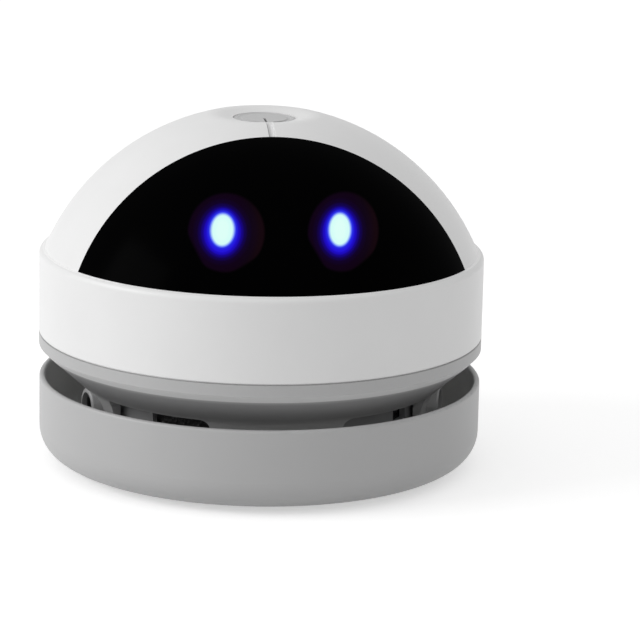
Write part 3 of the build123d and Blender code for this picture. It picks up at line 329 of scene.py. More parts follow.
def bowl_inside_painted_light(tree, x, y, z, radius):
    """The bowl's inside, painted paler as painted light. A place lies so far outwards and so far down from
    the middle of the side's lower rounding, each at least 0, and the painted light is where the length of
    the two is less than the rounding's radius inside the wall."""
    outwards = maths(tree, "SUBTRACT", radius, bowl_high.x - bowl_edge_r)
    down = maths(tree, "SUBTRACT", bowl_low.z + bowl_edge_r, z)
    past = put(tree, "ShaderNodeCombineXYZ", {0: outwards, 1: down}).outputs[0]
    reach = vectors(tree, "LENGTH", vectors(tree, "MAXIMUM", past, (0, 0, 0)))
    return between(tree, reach, -mm, bowl_edge_r - bowl_wall + inside_light_over, inside_light_soft)


bowl_grey = grey_moulding("bowl_satin_abs")
# painted light: the bowl's inside is painted paler than its outside
lay_over(bowl_grey, bowl_inside_painted_light, inside_light_colour)
dress(bowl_grey, "base_bowl")

# -------------------------------- glide pads
# Four acetal buttons bonded into seats in the bowl's underside. Sliding on the table
# leaves fine scratches on them that run one way.
crest_start, crest_full = 0.52, 0.72     # noise from which a scratch shows, and shows fully


def scratch_group():
    """Parallel scratches: noise drawn out along one axis, so that only its crest shows."""
    group, start, end = start_group(
        "scratches",
        {"Place": ("NodeSocketVector", None), "Stretch": ("NodeSocketVector", (1.0, 1.0, 1.0)),
         "Width": ("NodeSocketFloat", 0.0001)},
        {"Mask": "NodeSocketFloat", "Height": "NodeSocketFloat"},
    )
    given = start.outputs
    drawn = vectors(group, "MULTIPLY", given["Place"], given["Stretch"])
    lines = noise(group, drawn, maths(group, "DIVIDE", 1.0, given["Width"]), detail=3.0, roughness=0.65)
    return end_group(group, end, {"Mask": ranged(group, lines, crest_start, crest_full), "Height": lines})


scratches = scratch_group()


def scratched(name, colour, worn, gloss, dull, width, stretch, depth, **fixed):
    """Scratched, drawn or turned stuff: the scratches change its colour, gloss and height.
    The stretch is the scratches' width over their length along each axis."""
    material, tree, shader, place = start_material(name, **fixed)
    inputs = {"Place": place, "Stretch": stretch, "Width": width}
    marks = put(tree, "ShaderNodeGroup", inputs, node_tree=scratches).outputs
    tone = mixed(tree, marks["Mask"], colour, worn)
    rough = ranged(tree, marks["Mask"], low=gloss, high=dull)
    wire(tree, shader, tone, rough, marks["Height"], depth)
    return material


acetal = scratched(
    "acetal_pad", colour=(0.74, 0.74, 0.725, 1), worn=(0.62, 0.61, 0.59, 1), gloss=0.28, dull=0.50,
    width=0.07 * mm, stretch=(0.03, 1.0, 1.0), depth=0.004 * mm)
dress(acetal, "glide_pads")

# -------------------------------- brush ring and bristles
# A grey ring let into the underside holds 24 tufts of black nylon bristle, each bent in
# its socket and glued, that sweep crumbs to the port.
tuft_count = 24
tuft_ring_r = 13.0 * mm
tuft_spread = 1.12           # a tuft's width at its tips over its socket's
tuft_slack = 0.93            # hairs stay inside the socket's wall
tuft_turn = 3.7              # turn of a tuft's hairs for each radian round the ring
hairs_per_tuft = 34
hair_r = 0.055 * mm
hair_steps = 5
hair_sides = 4
hair_uneven = 0.06 * mm      # the tips differ by this much
hair_beat, tuft_beat = 12.9898, 78.233   # make the difference look random
golden_turn = math.pi * (3 - math.sqrt(5))


def tubes(paths, radii, sides, reference):
    """Closed tubes along rows of points, paths[tube, step, xyz]. At each point stands a
    ring of corners square to the path, r (cos a across + sin a up), where across is square
    to the path and to the reference direction. Returns points and face arrays."""
    along = np.gradient(paths, axis=1)
    along /= np.linalg.norm(along, axis=2, keepdims=True)
    across = np.cross(along, np.asarray(reference, float))
    across /= np.linalg.norm(across, axis=2, keepdims=True)
    up = np.cross(across, along)
    turn = np.arange(sides) * 2 * np.pi / sides
    ring = (np.cos(turn)[:, None] * across[:, :, None, :] + np.sin(turn)[:, None] * up[:, :, None, :])
    points = paths[:, :, None, :] + np.broadcast_to(radii, paths.shape[:2])[:, :, None, None] * ring
    count, steps = paths.shape[:2]
    index = np.arange(count * steps * sides).reshape(count, steps, sides)
    after = np.roll(index, -1, axis=2)
    walls = np.stack([index[:, :-1], index[:, 1:], after[:, 1:], after[:, :-1]], axis=-1).reshape(-1, 4)
    ends = np.concatenate([index[:, 0], index[:, -1, ::-1]])
    return points.reshape(-1, 3), [walls, ends]


def make_piece(name, points, faces, material, body):
    """A smooth mesh piece from points and face arrays, on its body and with its slot."""
    mesh = bpy.data.meshes.new(name)
    corners = np.concatenate([face.ravel() for face in faces])
    sizes = np.concatenate([np.full(len(face), face.shape[1]) for face in faces])
    mesh.vertices.add(len(points))
    mesh.vertices.foreach_set("co", np.asarray(points, np.float32).ravel())
    mesh.loops.add(len(corners))
    mesh.loops.foreach_set("vertex_index", corners.astype(np.int32))
    mesh.polygons.add(len(sizes))
    mesh.polygons.foreach_set("loop_start", (np.cumsum(sizes) - sizes).astype(np.int32))
    mesh.update(calc_edges=True)
    mesh.polygons.foreach_set("use_smooth", np.full(len(sizes), True))
    mesh.materials.append(material)
    obj = bpy.data.objects.new(name, mesh)
    bpy.context.scene.collection.objects.link(obj)
    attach(obj, body)
    return obj


def bristle_paths(low, high, ring_r, socket_r):
    """Hairs of all tufts: a root on a sunflower spiral in its socket, r = R sqrt(k/n),
    and a line to the tip that leans outwards and bends with the square of the way down."""
    tuft = np.arange(tuft_count)[:, None] * 2 * np.pi / tuft_count
    hair = np.arange(hairs_per_tuft)[None, :]
    spiral_r = socket_r * np.sqrt((hair + 0.5) / hairs_per_tuft)
    spiral_a = hair * golden_turn + tuft * tuft_turn
    centre = np.stack([np.cos(tuft), np.sin(tuft)], axis=-1) * ring_r
    root = centre + np.stack([spiral_r * np.cos(spiral_a), spiral_r * np.sin(spiral_a)], axis=-1)
    fall = np.linspace(0, 1, hair_steps)
    splay = 1 + (tuft_spread - 1) * fall ** 2
    flat = centre[:, :, None, :] + (root - centre)[:, :, None, :] * splay[:, None]
    uneven = hair_uneven * (0.5 + 0.5 * np.sin(hair * hair_beat + tuft * tuft_beat))
    height = high - (high - low - uneven)[..., None] * fall
    return np.concatenate([flat, height[..., None]], axis=-1).reshape(-1, hair_steps, 3)


ring_grey = grey_moulding("grey_satin_abs")
dress(ring_grey, "brush_ring")
nylon, tree, shader, place = start_material("black_nylon_hair", Specular_IOR_Level=0.6)
streak = noise(tree, place, scale=3000.0, detail=1.0)
shade = mixed(tree, streak, (0.012, 0.012, 0.013, 1), (0.045, 0.044, 0.043, 1))
wire(tree, shader, shade, ranged(tree, streak, low=0.25, high=0.5))
tufts_low, tufts_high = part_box("bristle_tufts")
socket_r = (tufts_high.x - tuft_ring_r) * tuft_slack
hair_paths = bristle_paths(tufts_low.z, tufts_high.z, tuft_ring_r, socket_r - hair_r)
bristle_points, bristle_faces = tubes(hair_paths, hair_r, hair_sides, (0.0, 1.0, 0.0))
bristles = make_piece("bristle_bundles", bristle_points, bristle_faces, nylon, "base")
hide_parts("bristle_tufts")

# -------------------------------- tray seal
# A flat ring, cut from black silicone rubber and laid on the tray's floor, that the
# neck's edge stands on. The rubber draws lint and has a pale bloom.
rubber, tree, shader, place = start_material("silicone_rubber", Specular_IOR_Level=0.35)
skin = skin_of(tree, place, colour=(0.030, 0.030, 0.031, 1), gloss=0.62, grain=0.12 * mm, dust=0.0)
bloom = ranged(tree, noise(tree, place, scale=420.0, detail=5.0, roughness=0.7),
               start=0.55, end=0.75, high=0.35)
shade = mixed(tree, bloom, skin["Colour"], (0.13, 0.13, 0.125, 1))
wire(tree, shader, shade, skin["Roughness"], skin["Height"], depth=0.006 * mm)
dress(rubber, "tray_seal")

# -------------------------------- neck, port grommets
# The neck is one grey ABS moulding from the lip down to the bayonet lugs, with the same
# satin as the bowl. Its flare under the lip is painted darker as painted shade, the seam above the lip
# carries a painted shadow line and the bevel below it is painted paler as painted light. A black rubber
# grommet is pressed into each round side port.
seam_z = 26.1 * mm           # joint between the lip and the band
seam_half, seam_soft = 0.16 * mm, 0.03 * mm
lip_z = 22.4 * mm            # lip's underside, where the flare starts
bevel_low, bevel_high, bevel_soft = -0.05 * mm, 1.2 * mm, 0.15 * mm    # above the underside
flare_shade_z = 17.3 * mm
flare_shade_gap = 0.9 * mm    # from the painted shade's upper edge to the lip's underside
flare_shade_soft = 1.2 * mm


def flare_painted_shade(tree, x, y, z, radius):
    """Painted shade on the flare, in the shadow under the lip."""
    return between(tree, z, flare_shade_z, lip_z - flare_shade_gap, flare_shade_soft)


def seam_painted_shadow(tree, x, y, z, radius):
    """Painted shadow line at the lip's upper edge, in the joint with the band."""
    return between(tree, z, seam_z - seam_half, seam_z + seam_half, seam_soft)


def bevel_painted_light(tree, x, y, z, radius):
    """The lip's lower bevel, painted paler as painted light where the rounding turns down."""
    return between(tree, z, lip_z + bevel_low, lip_z + bevel_high, bevel_soft)


neck_grey = grey_moulding("neck_satin_abs")
# painted shade on the flare, a painted shadow line at the seam and painted light on the lower bevel
lay_over(neck_grey, flare_painted_shade, (0.285, 0.285, 0.288, 1))
lay_over(neck_grey, seam_painted_shadow, (0.31, 0.31, 0.31, 1))
lay_over(neck_grey, bevel_painted_light, (0.66, 0.66, 0.66, 1))
dress(neck_grey, "neck_housing")
dress(rubber, "port_grommets")

# -------------------------------- inlet plate, filter frame
# Both are thin mouldings of a darker grey ABS with a coarser satin, welded to the neck
# below the fan.
cage_grey = moulded("dark_grey_abs", colour=(0.31, 0.31, 0.315, 1), gloss=0.46, grain=0.30 * mm,
                    depth=0.006 * mm)
dress(cage_grey, "inlet_plate", "filter_frame")

# -------------------------------- filter mesh
# A stiff plain-woven nylon screen, cut round and clamped between the inlet plate and
# its frame. Each thread goes over one cross thread and under the next.
thread_pitch = 1.2 * mm
thread_r = 0.15 * mm
thread_slack = 0.95          # crossing threads keep this share of their thickness
thread_steps = 112
thread_sides = 4
thread_rim = 0.15 * mm       # threads stop this far inside the screen's edge


def woven_paths(radius, level):
    """Two sets of threads on a disc. A thread at distance d from the middle is a chord of
    half-length sqrt(R^2 - d^2), and its height follows w cos(pi (s / p - k)), with s the way
    along it, p the pitch and k its number. The second set is the first, turned and upside down."""
    reach = int((radius - thread_pitch / 2) / thread_pitch)
    number = np.arange(-reach, reach + 1)
    beside = number * thread_pitch
    chord = np.sqrt(radius ** 2 - beside ** 2)
    way = np.linspace(-1, 1, thread_steps) * chord[:, None]
    wave = thread_r * np.cos(np.pi * (way / thread_pitch - number[:, None]))
    side = np.broadcast_to(beside[:, None], way.shape)
    warp = np.stack([way, side, level + wave], axis=-1)
    weft = np.stack([side, way, level - wave], axis=-1)
    return np.concatenate([warp, weft])


mesh_low, mesh_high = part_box("filter_mesh")
thread, tree, shader, place = start_material("nylon_thread")
fibre = noise(tree, place, scale=5200.0, detail=2.0)
grime = ranged(tree, noise(tree, place, scale=160.0, detail=4.0), start=0.45, end=0.8)
shade = mixed(tree, grime, (0.72, 0.72, 0.70, 1), (0.45, 0.44, 0.42, 1))
wire(tree, shader, shade, ranged(tree, fibre, low=0.35, high=0.6), fibre, depth=0.01 * mm)
thread_paths = woven_paths(mesh_high.x - thread_rim, (mesh_low.z + mesh_high.z) / 2)
screen_points, screen_faces = tubes(thread_paths, thread_r * thread_slack, thread_sides, (0.0, 0.0, 1.0))
screen = make_piece("filter_screen", screen_points, screen_faces, thread, "head")
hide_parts("filter_mesh")

# -------------------------------- exhaust cage
# The ribbed ring behind the windows, that holds the foam round the fan. It is moulded in
# the same darker grey and stands between the inlet plate and the motor deck.
dress(cage_grey, "exhaust_cage")

# -------------------------------- exhaust foam
# A sleeve of black open-cell foam inside the cage. Its cut pores are 0.3 to 0.9 mm wide,
# and the skins between them are painted lighter than the pores: painted light on the skins, painted shade
# in the pores.
foam_columns = 900
foam_outer_rows = 52
foam_inner_rows = 8
foam_thickness = 2.3 * mm
pore_size = 0.62 * mm
pore_depth = 0.34 * mm
pore_least, pore_range = 0.45, 0.30      # a pore's radius, in cells: its least, and what chance adds
pore_margin = 0.1            # a pore's centre keeps this share of its cell from the cell's edge
fine_size, fine_depth = 0.5, 0.35        # finer pores, in the coarse ones' size and depth
coarse_seed, fine_seed = 11, 12


def pore_field(width, height, x, z, size, seed):
    """Depth of pores, 0 to 1, at flat places x, z. The sheet is cut in cells of the given
    size, each with one pore centre placed at random in it; the depth is 1 - (d / r)^2 for
    the nearest centre at distance d, and 0 past r. Cells wrap round in x."""
    random = np.random.default_rng(seed)
    across = int(round(width / size))
    rows = int(math.ceil(height / size)) + 2
    cell = width / across
    offset = random.random((across, rows, 2)) * (1 - 2 * pore_margin) + pore_margin
    radius = cell * (pore_least + pore_range * random.random((across, rows)))
    column = np.floor(x / cell).astype(int)
    row = np.floor(z / cell).astype(int)
    deepest = np.zeros(np.broadcast(x, z).shape)
    for step_x in (-1, 0, 1):
        for step_z in (-1, 0, 1):
            i = (column + step_x) % across
            j = np.clip(row + step_z, 0, rows - 1)
            centre_x = (column + step_x + offset[i, j, 0]) * cell
            centre_z = (row + step_z + offset[i, j, 1]) * cell
            far = np.hypot(x - centre_x, z - centre_z)
            deepest = np.maximum(deepest, 1 - (far / radius[i, j]) ** 2)
    return np.clip(deepest, 0, 1)


def foam_sleeve(low, high, outer_r, inner_r):
    """A sleeve as a closed loop of rows: up the outer wall, down the inner wall. The outer is
    r = R - depth times pore field, the inner and the rims are smooth. Points, faces, depths."""
    turn = np.arange(foam_columns)[:, None] * 2 * np.pi / foam_columns
    up = np.linspace(low, high, foam_outer_rows)[None, :]
    down = np.linspace(high, low, foam_inner_rows)[None, :]
    edge = np.minimum(1, np.minimum(up - low, high - up) / pore_size)
    width = 2 * np.pi * outer_r
    around = turn * outer_r
    outer = pore_field(width, high - low, around, up - low, pore_size, coarse_seed) * edge
    fine = pore_field(width, high - low, around, up - low, pore_size * fine_size, fine_seed) * edge
    pores = np.clip(outer + fine_depth * fine, 0, 1)
    inner = np.zeros((foam_columns, foam_inner_rows))
    r = np.concatenate([outer_r - pore_depth * pores, inner_r + inner], axis=1)
    z = np.concatenate([up, down], axis=1) + np.zeros_like(turn)
    points = np.stack([r * np.sin(turn), -r * np.cos(turn), z], axis=-1)
    rows = foam_outer_rows + foam_inner_rows
    index = np.arange(foam_columns * rows).reshape(foam_columns, rows)
    beside = np.roll(index, -1, axis=0)
    walls = np.stack([index, beside, np.roll(beside, -1, axis=1), np.roll(index, -1, axis=1)], axis=-1)
    return points.reshape(-1, 3), [walls.reshape(-1, 4)], np.concatenate([pores, inner], axis=1)


def keep_values(obj, name, values):
    """Writes one value for each point into the piece's mesh, for its material to read."""
    stored = obj.data.attributes.new(name, "FLOAT", "POINT").data
    stored.foreach_set("value", values.astype(np.float32).ravel())


def kept_values(tree, name):
    """The values that a piece's mesh keeps under this name."""
    return put(tree, "ShaderNodeAttribute", attribute_name=name, attribute_type="GEOMETRY").outputs["Fac"]


foam_low, foam_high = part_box("exhaust_foam")
foam_black, tree, shader, place = start_material("open_cell_foam", Specular_IOR_Level=0.5)
skin_painted_light = ranged(tree, kept_values(tree, "pore"), end=0.35, low=1.0, high=0.0)
shine = noise(tree, place, scale=3800.0, detail=1.0)
# painted shade in the pores, painted light on the skins between them
shade = mixed(tree, skin_painted_light, (0.003, 0.003, 0.003, 1), (0.022, 0.022, 0.023, 1))
gloss = ranged(tree, shine, start=0.35, end=0.65, low=0.28, high=0.8)
wire(tree, shader, shade, gloss, shine, depth=0.05 * mm)
sleeve_points, sleeve_faces, sleeve_pores = foam_sleeve(
    foam_low.z, foam_high.z, foam_high.x, foam_high.x - foam_thickness)
sleeve = make_piece("foam_sleeve", sleeve_points, sleeve_faces, foam_black, "head")
keep_values(sleeve, "pore", sleeve_pores)
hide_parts("exhaust_foam")

# -------------------------------- motor deck
# The white ABS floor of the electronics bay, from a polished mould, with the motor's cup
# and the cell's cradle in one piece. The case screws clamp it between band and neck.
white_abs = (0.86, 0.86, 0.86, 1)


def white_moulding(name):
    """White ABS from a polished mould."""
    return moulded(name, colour=white_abs, gloss=0.36, grain=0.9 * mm, depth=0.0025 * mm, dust=0.35,
                   Specular_IOR_Level=0.4)


deck_white = white_moulding("white_gloss_abs")
dress(deck_white, "motor_deck")

# -------------------------------- motor
# A drawn and plated steel can with two ferrite arcs glued inside, a nylon end cap with
# brass terminals, sintered bronze bushes, and two zinc-plated screws.
can_steel = scratched(
    "drawn_can_steel", colour=(0.66, 0.66, 0.67, 1), worn=(0.50, 0.50, 0.51, 1), gloss=0.24, dull=0.42,
    width=0.09 * mm, stretch=(1.0, 1.0, 0.04), depth=0.002 * mm, Metallic=1.0)
ferrite = moulded("sintered_ferrite", colour=(0.060, 0.059, 0.062, 1), gloss=0.72, grain=0.10 * mm,
                  depth=0.012 * mm)
nylon_white = moulded("white_nylon", colour=(0.76, 0.76, 0.74, 1), gloss=0.48, grain=0.26 * mm,
                      depth=0.005 * mm)
brass = scratched(
    "rolled_brass", colour=(0.72, 0.52, 0.24, 1), worn=(0.55, 0.38, 0.17, 1), gloss=0.25, dull=0.45,
    width=0.08 * mm, stretch=(1.0, 1.0, 0.05), depth=0.002 * mm, Metallic=1.0)
zinc = scratched(
    "zinc_plate", colour=(0.58, 0.59, 0.62, 1), worn=(0.42, 0.42, 0.40, 1), gloss=0.28, dull=0.50,
    width=0.12 * mm, stretch=(1.0, 1.0, 0.25), depth=0.002 * mm, Metallic=1.0)
bronze, tree, shader, place = start_material("sintered_bronze", Metallic=1.0)
grains = put(tree, "ShaderNodeTexVoronoi", {"Vector": place, "Scale": 7000.0}).outputs["Distance"]
pits = ranged(tree, grains, start=0.1, end=0.5)
shade = mixed(tree, pits, (0.20, 0.12, 0.06, 1), (0.56, 0.37, 0.20, 1))
wire(tree, shader, shade, ranged(tree, pits, low=0.7, high=0.35), grains, depth=0.01 * mm)
dress(can_steel, "motor_can")
dress(ferrite, "motor_magnets")
dress(nylon_white, "motor_cap")
dress(brass, "motor_terminals")
dress(bronze, "lower_bush", "upper_bush")
dress(zinc, "motor_screws")

# -------------------------------- rotor
# The ground steel shaft carries the stack of stamped plates and, below the deck, the fan,
# moulded in grey nylon.
lamination = 0.35 * mm
bright_steel = scratched(
    "ground_steel", colour=(0.63, 0.63, 0.64, 1), worn=(0.50, 0.50, 0.51, 1), gloss=0.16, dull=0.30,
    width=0.05 * mm, stretch=(0.05, 0.05, 1.0), depth=0.001 * mm, Metallic=1.0)
core, tree, shader, place = start_material("stacked_plates", Metallic=0.8)
height = put(tree, "ShaderNodeSeparateXYZ", {0: place}).outputs["Z"]
plates = maths(tree, "PINGPONG", maths(tree, "MULTIPLY", height, 1 / lamination), 1.0)
stain = noise(tree, place, scale=700.0, detail=3.0)
shade = mixed(tree, stain, (0.09, 0.085, 0.08, 1), (0.24, 0.23, 0.22, 1))
wire(tree, shader, shade, ranged(tree, stain, low=0.35, high=0.65), plates, depth=0.03 * mm)
fan_nylon = moulded("grey_nylon", colour=(0.30, 0.31, 0.33, 1), gloss=0.44, grain=0.35 * mm,
                    depth=0.006 * mm)
dress(bright_steel, "motor_shaft")
dress(core, "armature")
dress(fan_nylon, "fan")

# -------------------------------- band
# The widest ring of the head: white ABS, polished, screwed to the lip from inside by
# four zinc-plated screws. The inner edge of its upper rim is painted white as a painted highlight.
rim_r = 42.8 * mm            # where the dome and the visor meet the band's upper rim
rim_highlight_width, rim_soft = 0.40 * mm, 0.15 * mm


def rim_painted_highlight(tree, x, y, z, radius):
    """Painted highlight on the inner edge of the band's upper rim, with all that lies a little further in.
    """
    return between(tree, radius, rim_r - mm, rim_r + rim_highlight_width, rim_soft)


band_white = white_moulding("band_gloss_abs")
# painted highlight: a white line along the inner edge of the band's upper rim
lay_over(band_white, rim_painted_highlight, (1.0, 1.0, 1.0, 1))
dress(band_white, "band_shell")
dress(zinc, "case_screws")

# -------------------------------- dome
# The white cap of the same polished ABS as the band, pushed into it by a spigot, with the
# button's dish at its crown. A shallow channel runs from the dish to the visor: its floor and far wall
# are painted whiter as painted light, and its corner on the cleaner's right carries a painted shadow line.
channel_half = 0.6 * mm      # half the channel's width
channel_start = 9.9 * mm     # from the cleaner's axis to the channel
channel_shadow_width, channel_shadow_soft = 0.12 * mm, 0.10 * mm
shine_over, shine_soft = 0.05 * mm, 0.15 * mm    # past the channel's other corner, and fade


def in_channel(tree, x, y, low, high, soft):
    """A strip along the channel, from low to high across it."""
    strip = between(tree, x, low, high, soft)
    return maths(tree, "MULTIPLY", strip, maths(tree, "LESS_THAN", y, -channel_start))


def channel_painted_light(tree, x, y, z, radius):
    """Painted light on the channel's floor and its other wall, whiter than the dome."""
    return in_channel(tree, x, y, 0.0, channel_half + shine_over, shine_soft)


def channel_painted_shadow(tree, x, y, z, radius):
    """A painted shadow line in the channel's corner on the cleaner's right."""
    return in_channel(tree, x, y, -channel_half, channel_shadow_width - channel_half, channel_shadow_soft)


dome_white = white_moulding("dome_gloss_abs")
# painted light on the channel's floor and far wall, and a painted shadow line in its near corner
lay_over(dome_white, channel_painted_light, (0.97, 0.97, 0.97, 1))
lay_over(dome_white, channel_painted_shadow, (0.20, 0.20, 0.20, 1))
dress(dome_white, "dome_shell")

# -------------------------------- visor
# Smoked black acrylic, thermoformed to the dome's own sphere and glued in its rebate.
# Behind it two lamps shine through light pipes; their glow is painted on the visor as
# emission: each shows as an upright oval, nearly white inside, with a blue halo that fades out and a last
# dim spill of purple and brown.
eye_x, eye_z = 11.02 * mm, 53.57 * mm
visor_lean = 1.15            # a height on the sloped visor over the same height upright
oval_tilt = 0.093            # the ovals' lean to the cleaner's left
oval_toe = 0.035             # and towards each other
oval_half_w = 2.20           # millimetres square to the visor's slope, as are the next
oval_half_h = 3.08
halo_drop = 0.45             # the halo's middle under the oval's
core_stops = (               # distance outside the oval's edge, and the lamp's light there
    (-1.6, (0.72, 1.00, 0.93)),
    (-0.45, (0.66, 0.98, 0.93)),
    (-0.15, (0.40, 0.58, 0.95)),
    (0.05, (0.130, 0.190, 0.940)),
    (0.30, (0.022, 0.024, 0.780)),
    (0.8, (0.006, 0.003, 0.400)),
    (1.3, (0.0, 0.0, 0.0)),
)
halo_stops = (               # distance outside the lower oval's edge, and the halo's light
    (-0.8, (0.020, 0.012, 0.780)),
    (0.4, (0.018, 0.008, 0.740)),
    (0.9, (0.012, 0.003, 0.520)),
    (1.4, (0.008, 0.0012, 0.215)),
    (1.9, (0.006, 0.0008, 0.070)),
    (2.5, (0.0055, 0.0006, 0.018)),
    (3.4, (0.0050, 0.0006, 0.0075)),
    (5.0, (0.0045, 0.0006, 0.0040)),
)
spill_half_w = 7.1           # the dim spill's reach to the side
spill_half_h = 7.5           # and up
spill_shift = (0.75, -0.6)   # its middle from the oval's
spill_fade = (0.93, 1.03)    # where its edge starts and ends, in its own ovals
spill_cuts = (               # its straight sides: the way each faces, and its distance
    ((-0.84, -0.48), 5.9),
    ((0.53, -0.74), 7.2),
)
cut_fade = (-0.4, 0.2)       # where a straight side starts and ends to fade
spill_warm = (0.0075, 0.0020, 0.0022)    # its brown on the cleaner's left
black = (0, 0, 0, 1)


def oval_reach(group, offset, half_w, half_h):
    """Length of (x / half_w, z / half_h) as a socket: 1 on the oval's edge."""
    return vectors(group, "LENGTH", vectors(group, "MULTIPLY", offset, (1 / half_w, 0, 1 / half_h)))


def oval_light(group, offset, stops):
    """With v the place from the oval's middle, in millimetres, and q its length in ovals, the
    distance outside the oval is |v| (1 - 1 / q). A ramp through the stops turns it to light."""
    first, last = stops[0][0], stops[-1][0]
    share = maths(group, "DIVIDE", 1.0, oval_reach(group, offset, oval_half_w, oval_half_h))
    outside = maths(group, "SUBTRACT", 1.0, share)
    distance = maths(group, "MULTIPLY", oval_reach(group, offset, 1.0, 1.0), outside)
    ramp = put(group, "ShaderNodeValToRGB", {"Fac": ranged(group, distance, first, last)})
    ramp.color_ramp.interpolation = "EASE"
    elements = ramp.color_ramp.elements
    while len(elements) < len(stops):
        elements.new(0.5)
    for element, (stop, light) in zip(elements, stops):
        element.position = (stop - first) / (last - first)
        element.color = (*light, 1)
    return ramp.outputs["Color"]


def moved(group, offset, across, up):
    """The offset from a middle that lies that far across and up, in millimetres."""
    return vectors(group, "SUBTRACT", offset, (across, 0, up))


def glow_group():
    """Light of one eye, painted on the visor: the lamp's core, over a halo that hangs a little lower, over
    a dim spill of light, purple to one side and brown to the other, that ends at an oval edge and at
    straight sides. The brightest of the three shows."""
    group, start, end = start_group(
        "eye_glow", {"Offset": ("NodeSocketVector", None)}, {"Light": "NodeSocketColor"})
    offset = start.outputs["Offset"]
    core_light = oval_light(group, offset, core_stops)
    halo = oval_light(group, moved(group, offset, 0.0, -halo_drop), halo_stops)
    side = put(group, "ShaderNodeSeparateXYZ", {0: offset}).outputs["X"]
    warm = ranged(group, side, 1.0, spill_half_w)
    brown = mixed(group, warm, black, (*spill_warm, 1))
    spread = mixed(group, 1.0, halo, brown, blend_type="LIGHTEN")
    wide = oval_reach(group, moved(group, offset, *spill_shift), spill_half_w, spill_half_h)
    inside = ranged(group, wide, *spill_fade, 1.0, 0.0, interpolation_type="SMOOTHSTEP")
    for facing, distance in spill_cuts:
        past = vectors(group, "DOT_PRODUCT", offset, (facing[0], 0, facing[1]))
        within = ranged(group, past, distance + cut_fade[0], distance + cut_fade[1], 1.0, 0.0)
        inside = maths(group, "MULTIPLY", inside, within)
    dim = mixed(group, inside, black, spread)
    return end_group(group, end, {"Light": mixed(group, 1.0, dim, core_light, blend_type="LIGHTEN")})


eye_glow = glow_group()
acrylic, tree, shader, place = start_material(
    "smoked_acrylic", Specular_IOR_Level=0.004, Emission_Strength=1.0)
lights = []
for side in (-1, 1):
    from_eye = vectors(tree, "SUBTRACT", place, (side * eye_x, 0, eye_z))
    lean = oval_tilt - side * oval_toe
    across = vectors(tree, "DOT_PRODUCT", from_eye, (1 / mm, 0, -lean / mm))
    up = vectors(tree, "DOT_PRODUCT", from_eye, (0, 0, visor_lean / mm))
    flat = put(tree, "ShaderNodeCombineXYZ", {0: across, 2: up}).outputs[0]
    lights.append(put(tree, "ShaderNodeGroup", {"Offset": flat}, node_tree=eye_glow).outputs["Light"])
# painted light: the lamps' glow is painted on the visor as emission
tree.links.new(mixed(tree, 1.0, *lights, blend_type="LIGHTEN"), shader.inputs["Emission Color"])
haze = noise(tree, place, scale=70.0, detail=4.0)
smoke = mixed(tree, haze, (0.0003, 0.0003, 0.0004, 1), (0.0007, 0.0007, 0.0008, 1))
wire(tree, shader, smoke, ranged(tree, haze, low=0.14, high=0.24), haze, depth=0.004 * mm)
dress(acrylic, "visor_lens")

# -------------------------------- power button
# A satin grey ABS cap with a skirt, flange and stem, that slides in the dome's guide tube.
# The usual power sign is sunk in its face: an open ring with a bar in its gap, which faces
# the visor. The front of the sign's groove is painted dark as painted shade.
button_face_r = 6.1 * mm
button_edge_r = 0.35 * mm
button_edge_steps = 7
button_wall = 1.0 * mm
button_face_t = 1.6 * mm
button_skirt_h = 4.4 * mm
button_flange_h = 0.8 * mm
stem_r = 1.5 * mm
stem_len = 3.0 * mm          # from the face's underside to the plunger
pole_r = 0.02 * mm           # radius of the small polygon that closes the face and the stem
sign_ring_r = 4.85 * mm
sign_line = 0.24 * mm        # half the width of the sign's line
ring_extra = 0.14 * mm       # the ring's line is this much wider than the bar's, each side
sign_gap = math.radians(20)  # half the ring's opening
sign_depth = 0.34 * mm
sign_soft = 0.10 * mm        # run of the groove's wall
sign_shallow = 0.15          # the groove's depth at the back of the ring, over its depth in front
bar_start, bar_end = 0.6 * mm, 4.6 * mm
front_shade_full = math.cos(math.radians(38))    # the painted shade is full up to this turn from the front
front_shade_end = math.cos(math.radians(56))     # and ends at this one
button_columns = 288
sign_rings = 92
sharp_angle = math.radians(40)           # edges of the cap that bend more stay sharp
tiny = 1e-9                  # picks a side where a place is right in the gap's middle


def sign_distance(x, y):
    """Distance to the sign's middle line: to an arc of the ring's radius that leaves out a
    gap towards -y, its round ends included, and to a bar on the -y axis."""
    turn = np.arctan2(x, -y)
    nearest = np.where(np.abs(turn) < sign_gap, np.sign(turn + tiny) * sign_gap, turn)
    arc = np.hypot(x - sign_ring_r * np.sin(nearest), y + sign_ring_r * np.cos(nearest))
    bar = np.hypot(x, y + np.clip(-y, bar_start, bar_end))
    return np.minimum(arc - ring_extra, bar)


